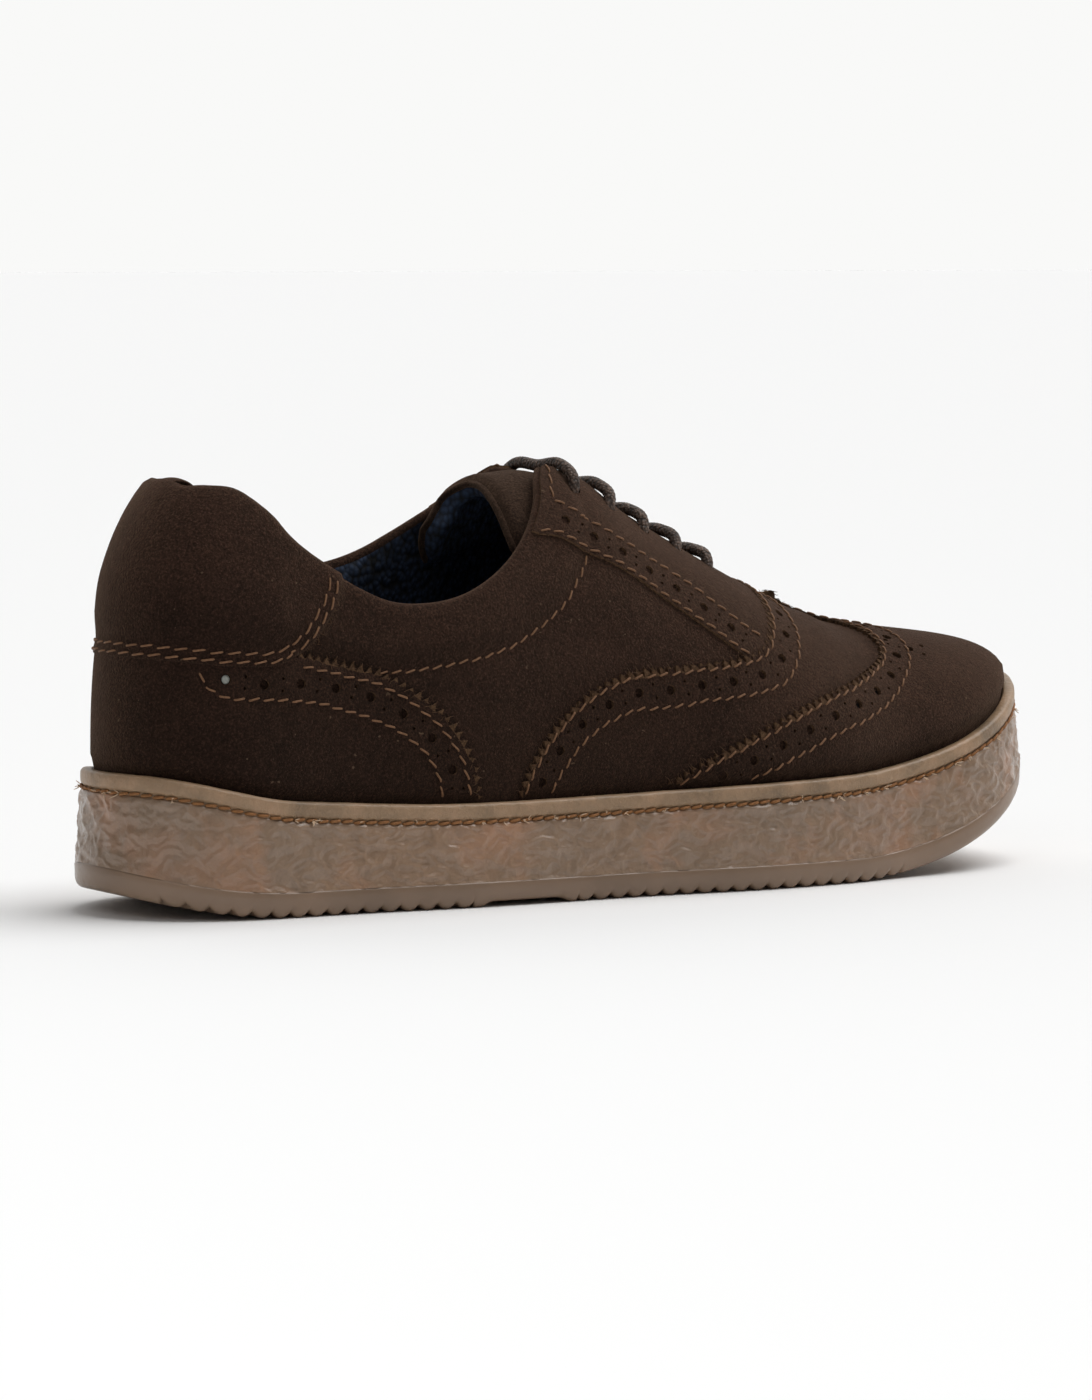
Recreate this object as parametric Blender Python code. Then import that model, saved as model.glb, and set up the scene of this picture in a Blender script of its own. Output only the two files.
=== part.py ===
"""A man's casual lace-up shoe with a winged, stitched upper on a cupped rubber sole: the right shoe.

The shoe is drawn with its heel's back at x = 0 and its toe towards +x, the outer (lateral) side
at -y and the floor at z = 0. One empty then sets the middle of its floor print at the origin.
All sizes are in metres.
"""

import math

import bmesh
import bpy
import numpy as np
from mathutils.geometry import delaunay_2d_cdt

MM = 0.001

# Sole
LENGTH = 300.0 * MM
BALL_HALF = 51.1 * MM
SOLE_HEIGHT = 29.4 * MM
TOE_SPRING = 27.8 * MM
HEEL_LIFT = 7.0 * MM
OUTSOLE_THICKNESS = 7.0 * MM
FLARE = 1.7 * MM
LIP_WIDTH = 3.5 * MM
LIP_DEPTH = 4.2 * MM
GROOVE_DEPTH = 0.8 * MM
GROOVE_HEIGHT = 1.2 * MM
CUP_DEPTH = 7.0 * MM
LUG_PITCH = 5.4 * MM
LUG_DEPTH = 1.4 * MM
INSOLE_THICKNESS = 4.0 * MM

# Upper
INSTEP_HEIGHT = 120.0 * MM
WALL = 2.2 * MM
COLLAR_PAD = 3.2 * MM
COLLAR_PAD_REACH = 30.0 * MM
EYESTAY_STEP = 1.0 * MM
COUNTER_STEP = 1.0 * MM
PATCH_STEP = 2.0 * MM
VAMP_STEP = 1.7 * MM
WING_STEP = 2.7 * MM
THROAT_HALF_TOP = 11.0 * MM
THROAT_HALF_END = 8.0 * MM
EYELETS = 5
EYELET_HOLE = 3.6 * MM
EYELET_INSET = 8.8 * MM

# Tongue and lace
TONGUE_THICKNESS = 4.0 * MM
TONGUE_HALF_TOP = 37.0 * MM
TONGUE_HALF_END = 26.0 * MM
LACE_DIAMETER = 3.3 * MM
LACE_BOW = 0.8 * MM

CLEARANCE = 0.3 * MM
SOFT_CLEARANCE = 0.6 * MM

# How round the plan is at the heel and at the toe, as the exponent of its curve.
HEEL_ROUND = 2.08
TOE_ROUND = 2.35

# The plan of the lip. Along is a share of LENGTH, the rest are shares of BALL_HALF.
PLAN = (
    # along, lateral half width, medial half width, centre line
    (0.150, 0.734, 0.616, -0.059),
    (0.333, 0.854, 0.640, -0.050),
    (0.500, 0.907, 0.800, 0.000),
    (0.640, 0.998, 0.960, 0.055),
    (0.730, 0.983, 1.000, 0.090),
    (0.800, 0.911, 0.950, 0.104),
)

# The lip's height in side view. Along is a share of LENGTH, height of SOLE_HEIGHT.
LIP = (
    # along, height
    (0.000, 1.319),
    (0.150, 1.058),
    (0.333, 0.962),
    (0.667, 1.018),
    (0.900, 1.118),
    (1.000, 1.181),
)
SPRING_FROM = 0.724
LIFT_TO = 0.150
LIP_SPRING = 0.75

# Stretches of the sole, as shares of LENGTH: the two that are cut across, the recessed waist
# between them and the smooth ends.
TREAD_ZONES = ((0.030, 0.318), (0.424, 0.794))
WAIST = (0.338, 0.405)
SMOOTH_STATIONS = (0.0015, 0.006, 0.015, 0.82, 0.85, 0.88, 0.905, 0.93, 0.955, 0.975, 0.99, 0.9985)

# Sections of the last. Along is a share of LENGTH and ridge a share of INSTEP_HEIGHT. Wall and
# crown are the exponents of each section's curve, up its side and across its top.
SECTIONS = (
    # along, ridge, wall, crown
    (0.000, 1.044, 2.60, 2.20),
    (0.150, 1.017, 2.50, 2.10),
    (0.300, 0.996, 2.30, 2.10),
    (0.440, 1.000, 2.20, 2.10),
    (0.480, 0.985, 2.20, 2.10),
    (0.553, 0.873, 2.20, 2.10),
    (0.633, 0.764, 2.20, 2.10),
    (0.703, 0.677, 2.20, 2.10),
    (0.750, 0.625, 2.15, 2.10),
    (0.800, 0.581, 2.10, 2.10),
    (0.850, 0.560, 2.00, 2.20),
    (1.000, 0.560, 1.90, 2.60),
)
TOE_TILT = 0.22

# Edges drawn on the last. Around runs from 0 at the heel's back to 1 at the toe's tip, and rise
# from 0 at the lip to 1 at the ridge.
TOPLINE = (
    # around, lateral rise, medial rise
    (0.000, 0.742, 0.742),
    (0.020, 0.745, 0.745),
    (0.055, 0.736, 0.736),
    (0.088, 0.755, 0.755),
    (0.122, 0.772, 0.772),
    (0.148, 0.757, 0.757),
    (0.170, 0.726, 0.732),
    (0.187, 0.670, 0.697),
    (0.216, 0.606, 0.640),
    (0.243, 0.550, 0.605),
    (0.270, 0.512, 0.596),
    (0.300, 0.505, 0.606),
    (0.332, 0.520, 0.640),
    (0.360, 0.560, 0.690),
    (0.387, 0.625, 0.745),
    (0.405, 0.690, 0.785),
    (0.420, 0.765, 0.820),
    (0.431, 0.845, 0.860),
)
EYESTAY_CORNER = 0.441
THROAT_END = 0.622

WING_EDGE = (
    # around, rise
    (0.492, 0.000),
    (0.532, 0.075),
    (0.594, 0.176),
    (0.640, 0.257),
    (0.705, 0.371),
    (0.732, 0.446),
    (0.752, 0.525),
    (0.765, 0.620),
    (0.772, 0.710),
    (0.768, 0.790),
    (0.752, 0.860),
    (0.725, 0.930),
    (0.697, 1.000),
)
VAMP_EDGE = (
    # around, rise
    (0.368, 0.000),
    (0.377, 0.069),
    (0.412, 0.208),
    (0.463, 0.302),
    (0.517, 0.346),
    (0.578, 0.390),
    (0.600, 0.421),
    (0.616, 0.497),
    (0.627, 0.591),
    (0.634, 0.700),
    (0.639, 0.850),
    (0.641, 1.000),
)
EYESTAY_EDGE = (
    # around, rise
    (0.411, 0.688),
    (0.427, 0.679),
    (0.450, 0.642),
    (0.504, 0.580),
    (0.553, 0.490),
    (0.590, 0.400),
)
COUNTER_EDGE = (
    # around, rise
    (0.333, 0.000),
    (0.330, 0.069),
    (0.321, 0.145),
    (0.305, 0.214),
    (0.279, 0.283),
    (0.253, 0.327),
    (0.227, 0.346),
    (0.187, 0.371),
    (0.100, 0.371),
    (0.000, 0.371),
)
PATCH_EDGE = (
    # around, rise
    (0.2285, 0.574),
    (0.224, 0.535),
    (0.216, 0.484),
    (0.206, 0.440),
    (0.192, 0.390),
    (0.177, 0.360),
    (0.127, 0.318),
    (0.059, 0.292),
    (0.000, 0.288),
)

SOLE_STEPS = 56
INSOLE_STEPS = 40
RIB_STEPS = 40
PLAN_STEPS = 1200
PLAN_SOFTNESS = 9.0 * MM
FOOT_INSET = LIP_WIDTH + CLEARANCE


def column(table, index):
    return np.array([row[index] for row in table], float)


def smooth(x, xs, ys):
    """A curve through the points that never overshoots them, flat beyond its ends."""
    x = np.clip(np.asarray(x, float), xs[0], xs[-1])
    step = np.diff(xs)
    rise = np.diff(ys) / step
    slope = np.zeros(len(xs))
    same = rise[:-1] * rise[1:] > 0
    before = np.where(same, rise[:-1], 1)
    after = np.where(same, rise[1:], 1)
    wa = 2 * step[1:] + step[:-1]
    wb = step[1:] + 2 * step[:-1]
    slope[1:-1] = np.where(same, (wa + wb) / (wa / before + wb / after), 0)
    at = np.clip(np.searchsorted(xs, x, side="right") - 1, 0, len(xs) - 2)
    h = step[at]
    t = (x - xs[at]) / h
    return (
        ys[at] * (1 + 2 * t) * (1 - t) ** 2
        + slope[at] * h * t * (1 - t) ** 2
        + ys[at + 1] * t * t * (3 - 2 * t)
        + slope[at + 1] * h * t * t * (t - 1)
    )


def ease(t):
    """A step from 0 to 1 with soft ends."""
    t = np.clip(t, 0, 1)
    return t * t * (3 - 2 * t)


def spring(x):
    """How far the floor side of the sole curls up at the toe, and lifts at the heel's back."""
    toe = np.clip((x / LENGTH - SPRING_FROM) / (1 - SPRING_FROM), 0, 1)
    heel = np.clip(1 - x / LENGTH / LIFT_TO, 0, 1)
    return TOE_SPRING * toe**2, HEEL_LIFT * heel**2


def bottom_height(x):
    toe, heel = spring(x)
    return toe + heel


def lip_height(x):
    toe, _ = spring(x)
    return SOLE_HEIGHT * smooth(x / LENGTH, column(LIP, 0), column(LIP, 1)) + LIP_SPRING * toe


def centre_line(x):
    return BALL_HALF * smooth(x / LENGTH, column(PLAN, 0), column(PLAN, 3))


def half_plan(side):
    """One side of the lip's plan, from the heel's back to the toe's tip, as its table draws it."""
    along = column(PLAN, 0)
    width = column(PLAN, 1 if side < 0 else 2) * side
    centre = column(PLAN, 3)
    turn = np.linspace(0, math.pi / 2, PLAN_STEPS)
    heel_x = along[0] * (1 - np.cos(turn) ** (2 / HEEL_ROUND))
    heel_y = centre[0] + (width[0] - centre[0]) * np.sin(turn) ** (2 / HEEL_ROUND)
    side_x = np.linspace(along[0], along[-1], PLAN_STEPS)[1:-1]
    side_y = smooth(side_x, along, width)
    toe_x = along[-1] + (1 - along[-1]) * np.sin(turn) ** (2 / TOE_ROUND)
    toe_y = centre[-1] + (width[-1] - centre[-1]) * np.cos(turn) ** (2 / TOE_ROUND)
    x = np.r_[heel_x, side_x, toe_x] * LENGTH
    y = np.r_[heel_y, side_y, toe_y] * BALL_HALF
    return even_points(np.stack([x, y], axis=1))


def even_points(line):
    run = np.r_[0, np.cumsum(np.hypot(*np.diff(line, axis=0).T))]
    keep = np.r_[True, np.diff(run) > 1e-9]
    even = np.linspace(0, run[-1], PLAN_STEPS)
    return np.stack([np.interp(even, run[keep], line[keep, k]) for k in (0, 1)], axis=1)


def blurred(loop):
    """The loop averaged along itself, over a bell as wide as PLAN_SOFTNESS."""
    count = len(loop)
    gap = np.hypot(*np.diff(loop, axis=0).T).mean()
    reach = int(4 * PLAN_SOFTNESS / gap)
    weight = np.exp(-0.5 * (np.arange(-reach, reach + 1) * gap / PLAN_SOFTNESS) ** 2)
    weight /= weight.sum()
    around = np.concatenate([loop[-reach:], loop, loop[:reach]])
    return np.stack([np.convolve(around[:, k], weight, "valid")[:count] for k in (0, 1)], axis=1)


def softened_plans():
    """Both sides of the plan with the joins of their curves smoothed out."""
    lateral = half_plan(-1)
    medial = half_plan(1)
    loop = np.concatenate([lateral, medial[::-1][1:-1]])
    once = blurred(loop)
    loop = 2 * once - blurred(once)
    low, high = loop[:, 0].min(), loop[:, 0].max()
    loop[:, 0] = (loop[:, 0] - low) / (high - low) * LENGTH
    lateral = loop[:PLAN_STEPS]
    medial = np.concatenate([loop[:1], loop[PLAN_STEPS - 1 :][::-1]])
    return {-1: even_points(lateral), 1: even_points(medial)}


def inward(line, side):
    """The unit direction square to the plan at each of its points, towards the middle of the shoe."""
    along = np.gradient(line, axis=0)
    along[0] = (0, side)
    along[-1] = (0, -side)
    along /= np.linalg.norm(along, axis=1)[:, None]
    return side * np.stack([along[:, 1], -along[:, 0]], axis=1)


PLANS = softened_plans()
INWARD = {side: inward(PLANS[side], side) for side in (-1, 1)}
PLAN_SHARE = np.linspace(0, 1, PLAN_STEPS)
HEEL_X = PLAN[0][0] * LENGTH
TOE_X = PLAN[-1][0] * LENGTH


def plan(around, inset=0.0):
    """Points of the plan moved in by inset. Around is negative on the medial side."""
    around = np.atleast_1d(np.asarray(around, float))
    inset = np.broadcast_to(inset, around.shape)
    out = np.zeros((len(around), 2))
    for side in (-1, 1):
        mine = (around >= 0) == (side < 0)
        for k in (0, 1):
            on_line = np.interp(np.abs(around[mine]), PLAN_SHARE, PLANS[side][:, k])
            square = np.interp(np.abs(around[mine]), PLAN_SHARE, INWARD[side][:, k])
            out[mine, k] = on_line + square * inset[mine]
    return out


def around_at(x, side):
    """The place around the plan where it has this x."""
    share = np.interp(x, PLANS[side][:, 0], PLAN_SHARE)
    return share if side < 0 else -share


def ribs(around):
    """The last's curve up from each foot point to the centre line, with the distance run along it."""
    around = np.atleast_1d(np.asarray(around, float))
    foot = plan(around, FOOT_INSET)
    head_x = np.clip(foot[:, 0], HEEL_X, TOE_X)
    head = np.stack([head_x, centre_line(head_x)], axis=1)
    low = lip_height(plan(around)[:, 0])
    along = column(SECTIONS, 0)
    station = foot[:, 0] / LENGTH
    top = INSTEP_HEIGHT * smooth(np.minimum(station, TOE_X / LENGTH), along, column(SECTIONS, 1))
    wall = smooth(station, along, column(SECTIONS, 2))
    crown = smooth(station, along, column(SECTIONS, 3))
    turn = np.linspace(0, math.pi / 2, RIB_STEPS)[None, :]
    up = np.sin(turn) ** (2 / wall[:, None])
    out = np.cos(turn) ** (2 / crown[:, None])
    out[:, -1] = 0
    reach = foot - head
    level = head[:, None, :] + reach[:, None, :] * out[:, :, None]
    forward = np.where(foot[:, 0] > TOE_X, reach[:, 0], 0)
    height = low[:, None] + (top - low)[:, None] * up - TOE_TILT * forward[:, None] * out * (1 - out)
    curve = np.concatenate([level, height[:, :, None]], axis=2)
    lengths = np.linalg.norm(np.diff(curve, axis=1), axis=2)
    run = np.concatenate([np.zeros((len(around), 1)), np.cumsum(lengths, axis=1)], axis=1)
    return curve, run


def rib_length(around):
    return ribs(around)[1][:, -1]


def on_last(around, up):
    """The last's surface at a distance up the rib from the lip, or straight down inside the cup."""
    around = np.atleast_1d(np.asarray(around, float))
    up = np.broadcast_to(np.asarray(up, float), around.shape)
    curve, run = ribs(around)
    inside = np.clip(up, 0, run[:, -1])
    at = np.clip((run <= inside[:, None]).sum(axis=1) - 1, 0, RIB_STEPS - 2)
    row = np.arange(len(around))
    t = ((inside - run[row, at]) / np.maximum(run[row, at + 1] - run[row, at], 1e-12))[:, None]
    point = curve[row, at] * (1 - t) + curve[row, at + 1] * t
    point[:, 2] += np.minimum(up, 0)
    return point


# The last unrolled flat: each rib is laid out straight from its head on the centre line.


def flat_tables():
    tables = {}
    for side in (-1, 1):
        around = -side * np.linspace(0, 1, 600)
        foot = plan(around, FOOT_INSET)
        heel = np.arctan2(np.abs(foot[:, 1] - centre_line(HEEL_X)), HEEL_X - foot[:, 0])
        toe = np.arctan2(foot[:, 0] - TOE_X, np.abs(foot[:, 1] - centre_line(TOE_X)))
        tables[side] = (np.abs(around), foot[:, 0], heel, toe)
    return tables


FLAT = flat_tables()


def to_flat(around, up):
    around = np.atleast_1d(np.asarray(around, float))
    foot = plan(around, FOOT_INSET)
    head_x = np.clip(foot[:, 0], HEEL_X, TOE_X)
    head = np.stack([head_x, centre_line(head_x)], axis=1)
    reach = foot - head
    reach /= np.linalg.norm(reach, axis=1)[:, None]
    return head + reach * (rib_length(around) - up)[:, None]


def from_flat(points):
    """Around and up for each point of the flat pattern."""
    points = np.atleast_2d(points)
    head_x = np.clip(points[:, 0], HEEL_X, TOE_X)
    head_y = centre_line(head_x)
    around = np.zeros(len(points))
    for side in (-1, 1):
        share, foot_x, heel, toe = FLAT[side]
        mine = (points[:, 1] < head_y) == (side < 0)
        p = points[mine]
        out = np.maximum(np.abs(p[:, 1] - head_y[mine]), 1e-9)
        found = np.interp(p[:, 0], foot_x, share)
        behind = p[:, 0] < HEEL_X
        before = p[:, 0] > TOE_X
        backwards = foot_x <= HEEL_X
        forwards = foot_x >= TOE_X
        found[behind] = np.interp(
            np.arctan2(out[behind], HEEL_X - p[behind, 0]), heel[backwards], share[backwards]
        )
        found[before] = np.interp(
            np.arctan2(p[before, 0] - TOE_X, out[before]), toe[forwards], share[forwards]
        )
        around[mine] = -side * found
    away = np.hypot(points[:, 0] - head_x, points[:, 1] - head_y)
    return around, rib_length(around) - away


def lift(points, offset):
    """Points of the flat pattern on the last, moved out along its normal by offset."""
    points = np.atleast_2d(points)
    step = 0.3 * MM
    low = -CUP_DEPTH
    around, up = from_flat(points)
    here = on_last(around, up)
    sides = []
    for move in ((step, 0), (-step, 0), (0, step), (0, -step)):
        a, u = from_flat(points + np.array(move))
        sides.append(on_last(a, np.maximum(u, low)))
    normal = np.cross(sides[0] - sides[1], sides[2] - sides[3])
    inside = up <= step
    foot = plan(around, FOOT_INSET)
    deeper = plan(around, FOOT_INSET + MM)
    level = np.concatenate([foot - deeper, np.zeros((len(foot), 1))], axis=1)
    normal = np.where(inside[:, None], level, normal)
    normal /= np.maximum(np.linalg.norm(normal, axis=1), 1e-12)[:, None]
    return here + normal * np.broadcast_to(offset, len(points))[:, None]


def drawn(table, side=-1):
    """An edge drawn on the last, as points of the flat pattern spaced for the mesh."""
    around = column(table, 0)
    rise = column(table, 1)
    run = np.r_[0, np.cumsum(np.hypot(np.diff(around) * 3, np.diff(rise)))]
    fine = np.linspace(0, run[-1], 240)
    around = smooth_path(fine, run, around) * -side
    rise = smooth_path(fine, run, rise)
    return to_flat(around, rise * rib_length(around))


def smooth_path(at, run, values):
    """A Catmull-Rom curve through the values."""
    slope = np.gradient(values, run)
    k = np.clip(np.searchsorted(run, at, side="right") - 1, 0, len(run) - 2)
    h = run[k + 1] - run[k]
    t = (at - run[k]) / h
    return (
        values[k] * (1 + 2 * t) * (1 - t) ** 2
        + slope[k] * h * t * (1 - t) ** 2
        + values[k + 1] * t * t * (3 - 2 * t)
        + slope[k + 1] * h * t * t * (t - 1)
    )


def spaced(line, gap):
    """The line again, with its points about this far apart."""
    run = np.r_[0, np.cumsum(np.linalg.norm(np.diff(line, axis=0), axis=1))]
    count = max(2, int(round(run[-1] / gap)) + 1)
    even = np.linspace(0, run[-1], count)
    return np.stack([np.interp(even, run, line[:, k]) for k in range(line.shape[1])], axis=1)


def beside(line, distance):
    """The line moved to its left by a distance."""
    along = np.gradient(line, axis=0)
    along /= np.linalg.norm(along, axis=1)[:, None]
    return line + distance * np.stack([-along[:, 1], along[:, 0]], axis=1)


def inside_of(points, polygon):
    inside = np.zeros(len(points), bool)
    x, y = points[:, 0], points[:, 1]
    for (ax, ay), (bx, by) in zip(polygon, np.roll(polygon, -1, axis=0)):
        spans = (ay > y) != (by > y)
        cross = ax + (y - ay) * (bx - ax) / (by - ay if by != ay else 1e-12)
        inside ^= spans & (x < cross)
    return inside


def distance_to(points, line):
    best = np.full(len(points), np.inf)
    for a, b in zip(line[:-1], line[1:]):
        ab = b - a
        t = np.clip(((points - a) @ ab) / max(ab @ ab, 1e-18), 0, 1)
        best = np.minimum(best, np.linalg.norm(points - a - t[:, None] * ab, axis=1))
    return best


# Panels of the upper, each a region of the flat pattern that stands proud of the quarter.

RAMP = 0.6 * MM
PANEL_GAP = 6.0 * MM
OUTSIDE = 60.0 * MM
LIP_REVEAL = 0.4 * MM
FADE = 4.0 * MM


def both_sides(table):
    """An edge that runs from the lateral lip over the middle to the medial lip."""
    lateral = drawn(table, -1)
    medial = drawn(table, 1)
    return np.concatenate([lateral, medial[::-1][1:]])


def lip_loop(low, high, count=60):
    """The pattern far outside the lip, around from one place to another."""
    around = np.linspace(low, high, count)
    return to_flat(around, np.full(count, -OUTSIDE))


def toe_panel(table):
    edge = both_sides(table)
    lateral = lip_loop(table[0][0], 1.0)
    medial = lip_loop(-1.0, -table[0][0])
    return edge, np.concatenate([lateral[::-1], edge, medial[::-1]])[::-1]


def heel_panel(table):
    edge = both_sides(table)
    lateral = lip_loop(0.0, table[0][0])
    medial = lip_loop(-table[0][0], -1e-6)
    return edge, np.concatenate([edge, medial, lateral])


def collar_patch(table):
    edge = both_sides(table)
    return edge, np.concatenate([edge, [[HEEL_X, centre_line(HEEL_X)]]])


def eyestay_panel(table, side):
    edge = drawn(table, side)
    middle = centre_line(np.array([edge[-1, 0], edge[0, 0]]))
    return edge, np.concatenate([edge, np.stack([[edge[-1, 0], edge[0, 0]], middle], axis=1)])


def panels():
    """Each panel's edge, its region and how far it stands proud."""
    made = [
        toe_panel(WING_EDGE) + (WING_STEP,),
        toe_panel(VAMP_EDGE) + (VAMP_STEP,),
        heel_panel(COUNTER_EDGE) + (COUNTER_STEP,),
        collar_patch(PATCH_EDGE) + (PATCH_STEP,),
    ]
    for side in (-1, 1):
        made.append(eyestay_panel(EYESTAY_EDGE, side) + (EYESTAY_STEP,))
    return made


PANELS = panels()


def panel_height(points):
    """How far the upper stands proud of the quarter at each point of the pattern."""
    height = np.zeros(len(points))
    for edge, region, step in PANELS:
        inside = inside_of(points, region)
        ramp = np.clip(distance_to(points, edge) / RAMP, 0, 1)
        height = np.maximum(height, np.where(inside, step * ramp, 0))
    _, up = from_flat(points)
    return height * ease((up - LIP_REVEAL) / (FADE - LIP_REVEAL))


# The upper


def throat_half(around):
    share = (around - EYESTAY_CORNER) / (THROAT_END - EYESTAY_CORNER)
    return THROAT_HALF_TOP + (THROAT_HALF_END - THROAT_HALF_TOP) * np.clip(share, 0, 1)


def top_edge():
    """The collar and throat as a loop of the flat pattern, from the lateral heel round to the medial."""
    halves = []
    for side, rise_column in ((-1, 1), (1, 2)):
        table = [(row[0], row[rise_column]) for row in TOPLINE]
        collar = drawn(table, side)
        around = -side * np.linspace(EYESTAY_CORNER, THROAT_END - 0.010, 40)
        facing = to_flat(around, rib_length(around) - throat_half(np.abs(around)))
        halves.append(np.concatenate([collar, facing]))
    lateral, medial = halves
    end = np.array([around_x(THROAT_END), 0.0])
    end[1] = centre_line(end[0])
    turn = np.linspace(-1, 1, 9)[1:-1] * math.pi / 2
    wide = throat_half(np.array([THROAT_END]))[0]
    start_x = lateral[-1, 0]
    bend = np.stack([start_x + (end[0] - start_x) * np.cos(turn), end[1] + wide * np.sin(turn)], axis=1)
    return np.concatenate([lateral, bend, medial[::-1][:-1]])


def around_x(around):
    return plan([around], FOOT_INSET)[0, 0]


def eyelet_places(side):
    """The middle of each eyelet on one facing, in the flat pattern."""
    first = EYESTAY_CORNER + 0.021
    last = THROAT_END - 0.023
    around = -side * np.linspace(first, last, EYELETS)
    drop = throat_half(np.abs(around)) + EYELET_INSET
    return to_flat(around, rib_length(around) - drop)


def ring(centre, diameter, count=8):
    turn = np.linspace(0, 2 * math.pi, count, endpoint=False)
    return centre + diameter / 2 * np.stack([np.cos(turn), np.sin(turn)], axis=1)


def wall_thickness(points, edge):
    """The wall's thickness: one layer, and padding under the collar behind the eyestay."""
    around, _ = from_flat(points)
    away = distance_to(points, np.concatenate([edge, edge[:1]]))
    padded = 1 - ease((np.abs(around) - 0.30) / 0.09)
    bulge = np.sin(np.clip(away / COLLAR_PAD_REACH, 0, 1) ** 0.6 * math.pi)
    return WALL + COLLAR_PAD * padded * np.clip(0.35 * (away < COLLAR_PAD_REACH / 3) + bulge, 0, 1)


def triangulate(loops, creases, extra):
    """Triangles of the flat pattern between its outer loop and its inner loops."""
    points = []
    links = []
    for loop, closed in [(loop, True) for loop in loops] + [(line, False) for line in creases]:
        start = len(points)
        points.extend(loop)
        links += [(start + i, start + i + 1) for i in range(len(loop) - 1)]
        if closed:
            links.append((start + len(loop) - 1, start))
    rim = sum(len(loop) for loop in loops)
    points.extend(extra)
    scale = 1 / MM
    scaled = [(float(p[0]) * scale, float(p[1]) * scale) for p in points]
    verts, _, faces, origins, _, _ = delaunay_2d_cdt(scaled, links, [], 0, 1e-5, True)
    found = np.array([(v[0], v[1]) for v in verts]) / scale
    place = {}
    for index, sources in enumerate(origins):
        for source in sources:
            place[source] = index
    faces = np.array([list(face) for face in faces])
    middle = found[faces].mean(axis=1)
    keep = inside_of(middle, loops[0])
    for loop in loops[1:]:
        keep &= ~inside_of(middle, loop)
    faces = faces[keep]
    order = [place[i] for i in range(rim)]
    return found, faces, order


def grid_points(loops, creases, gap, clear):
    """Points spread over the pattern, kept off its edges and creases."""
    spread = []
    for side in (-1, 1):
        for around in np.linspace(0.0, 1.0, int(round(0.345 / gap))):
            length = rib_length([-side * around])[0]
            ups = np.arange(FADE + 0.5 * gap, length, gap)
            here = np.full(len(ups), -side * max(around, 1e-6))
            spread.append(to_flat(here, ups))
    spread = np.concatenate(spread)
    keep = inside_of(spread, loops[0]) & (distance_to(spread, closed_line(loops[0])) > clear)
    for loop in loops[1:]:
        keep &= ~inside_of(spread, loop) & (distance_to(spread, closed_line(loop)) > clear)
    for line in creases:
        keep &= distance_to(spread, line) > clear
    spread = spread[keep]
    chosen = []
    for point in spread:
        if all(abs(point[0] - q[0]) + abs(point[1] - q[1]) > 0.6 * gap for q in chosen[-80:]):
            chosen.append(point)
    return np.array(chosen)


def closed_line(loop):
    return np.concatenate([loop, loop[:1]])


def crease_lines():
    """Two lines along each panel's edge, at the foot and the top of its step."""
    lines = []
    for edge, region, _ in PANELS:
        line = spaced(edge, PANEL_GAP)
        left = beside(line, RAMP)
        inner = left if inside_of(left, region).mean() > 0.5 else beside(line, -RAMP)
        for each in (line, inner):
            _, up = from_flat(each)
            lines.append(each[up > 2 * LIP_REVEAL])
    for up, count in ((LIP_REVEAL, 124), (FADE, 100)):
        around = np.linspace(-1, 1, count + 1)
        lines.append(to_flat(around, np.full(count + 1, up)))
    return lines


def short_of(line, loop, clear):
    """The line without the ends that come too near a loop."""
    return line[distance_to(line, closed_line(loop)) > clear]


def make_upper():
    feather_around = np.r_[np.linspace(0, 1, 64), np.linspace(-1, 0, 64)[1:-1]]
    feather = to_flat(feather_around, np.full(len(feather_around), -CUP_DEPTH + CLEARANCE))
    edge = spaced(closed_line(top_edge()), 4.0 * MM)[:-1]
    eyelets = [ring(place, EYELET_HOLE) for side in (-1, 1) for place in eyelet_places(side)]
    loops = [feather, edge] + eyelets
    creases = []
    for line in crease_lines():
        line = short_of(line, edge, 1.0 * MM)
        if len(line) > 1:
            creases.append(line)
    grid = grid_points(loops, creases, 8.5 * MM, 3.0 * MM)
    outer_flat, outer_faces, outer_rim = triangulate(loops, creases, grid)
    inner_grid = grid_points(loops, creases[-2:-1], 10.0 * MM, 3.5 * MM)
    inner_flat, inner_faces, inner_rim = triangulate(loops, creases[-2:-1], inner_grid)
    outer = lift(outer_flat, panel_height(outer_flat))
    inner = lift(inner_flat, -wall_thickness(inner_flat, edge))
    points = [outer, inner]
    faces = [outer_faces, inner_faces[:, ::-1] + len(outer)]
    total = len(outer) + len(inner)
    start = 0
    for number, loop in enumerate(loops):
        out_row = np.array(outer_rim[start : start + len(loop)])
        in_row = np.array(inner_rim[start : start + len(loop)]) + len(outer)
        start += len(loop)
        rows = [out_row]
        if number == 1:
            rolled = rolled_edge(outer[out_row], inner[in_row - len(outer)], loop)
            for row in rolled:
                points.append(row)
                rows.append(np.arange(total, total + len(loop)))
                total += len(loop)
        rows.append(in_row)
        for a, b in zip(rows[:-1], rows[1:]):
            c, d = np.roll(a, -1), np.roll(b, -1)
            faces.append(np.stack([a, b, d], axis=1))
            faces.append(np.stack([a, d, c], axis=1))
    return solid("upper", np.concatenate(points), np.concatenate(faces))


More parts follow.
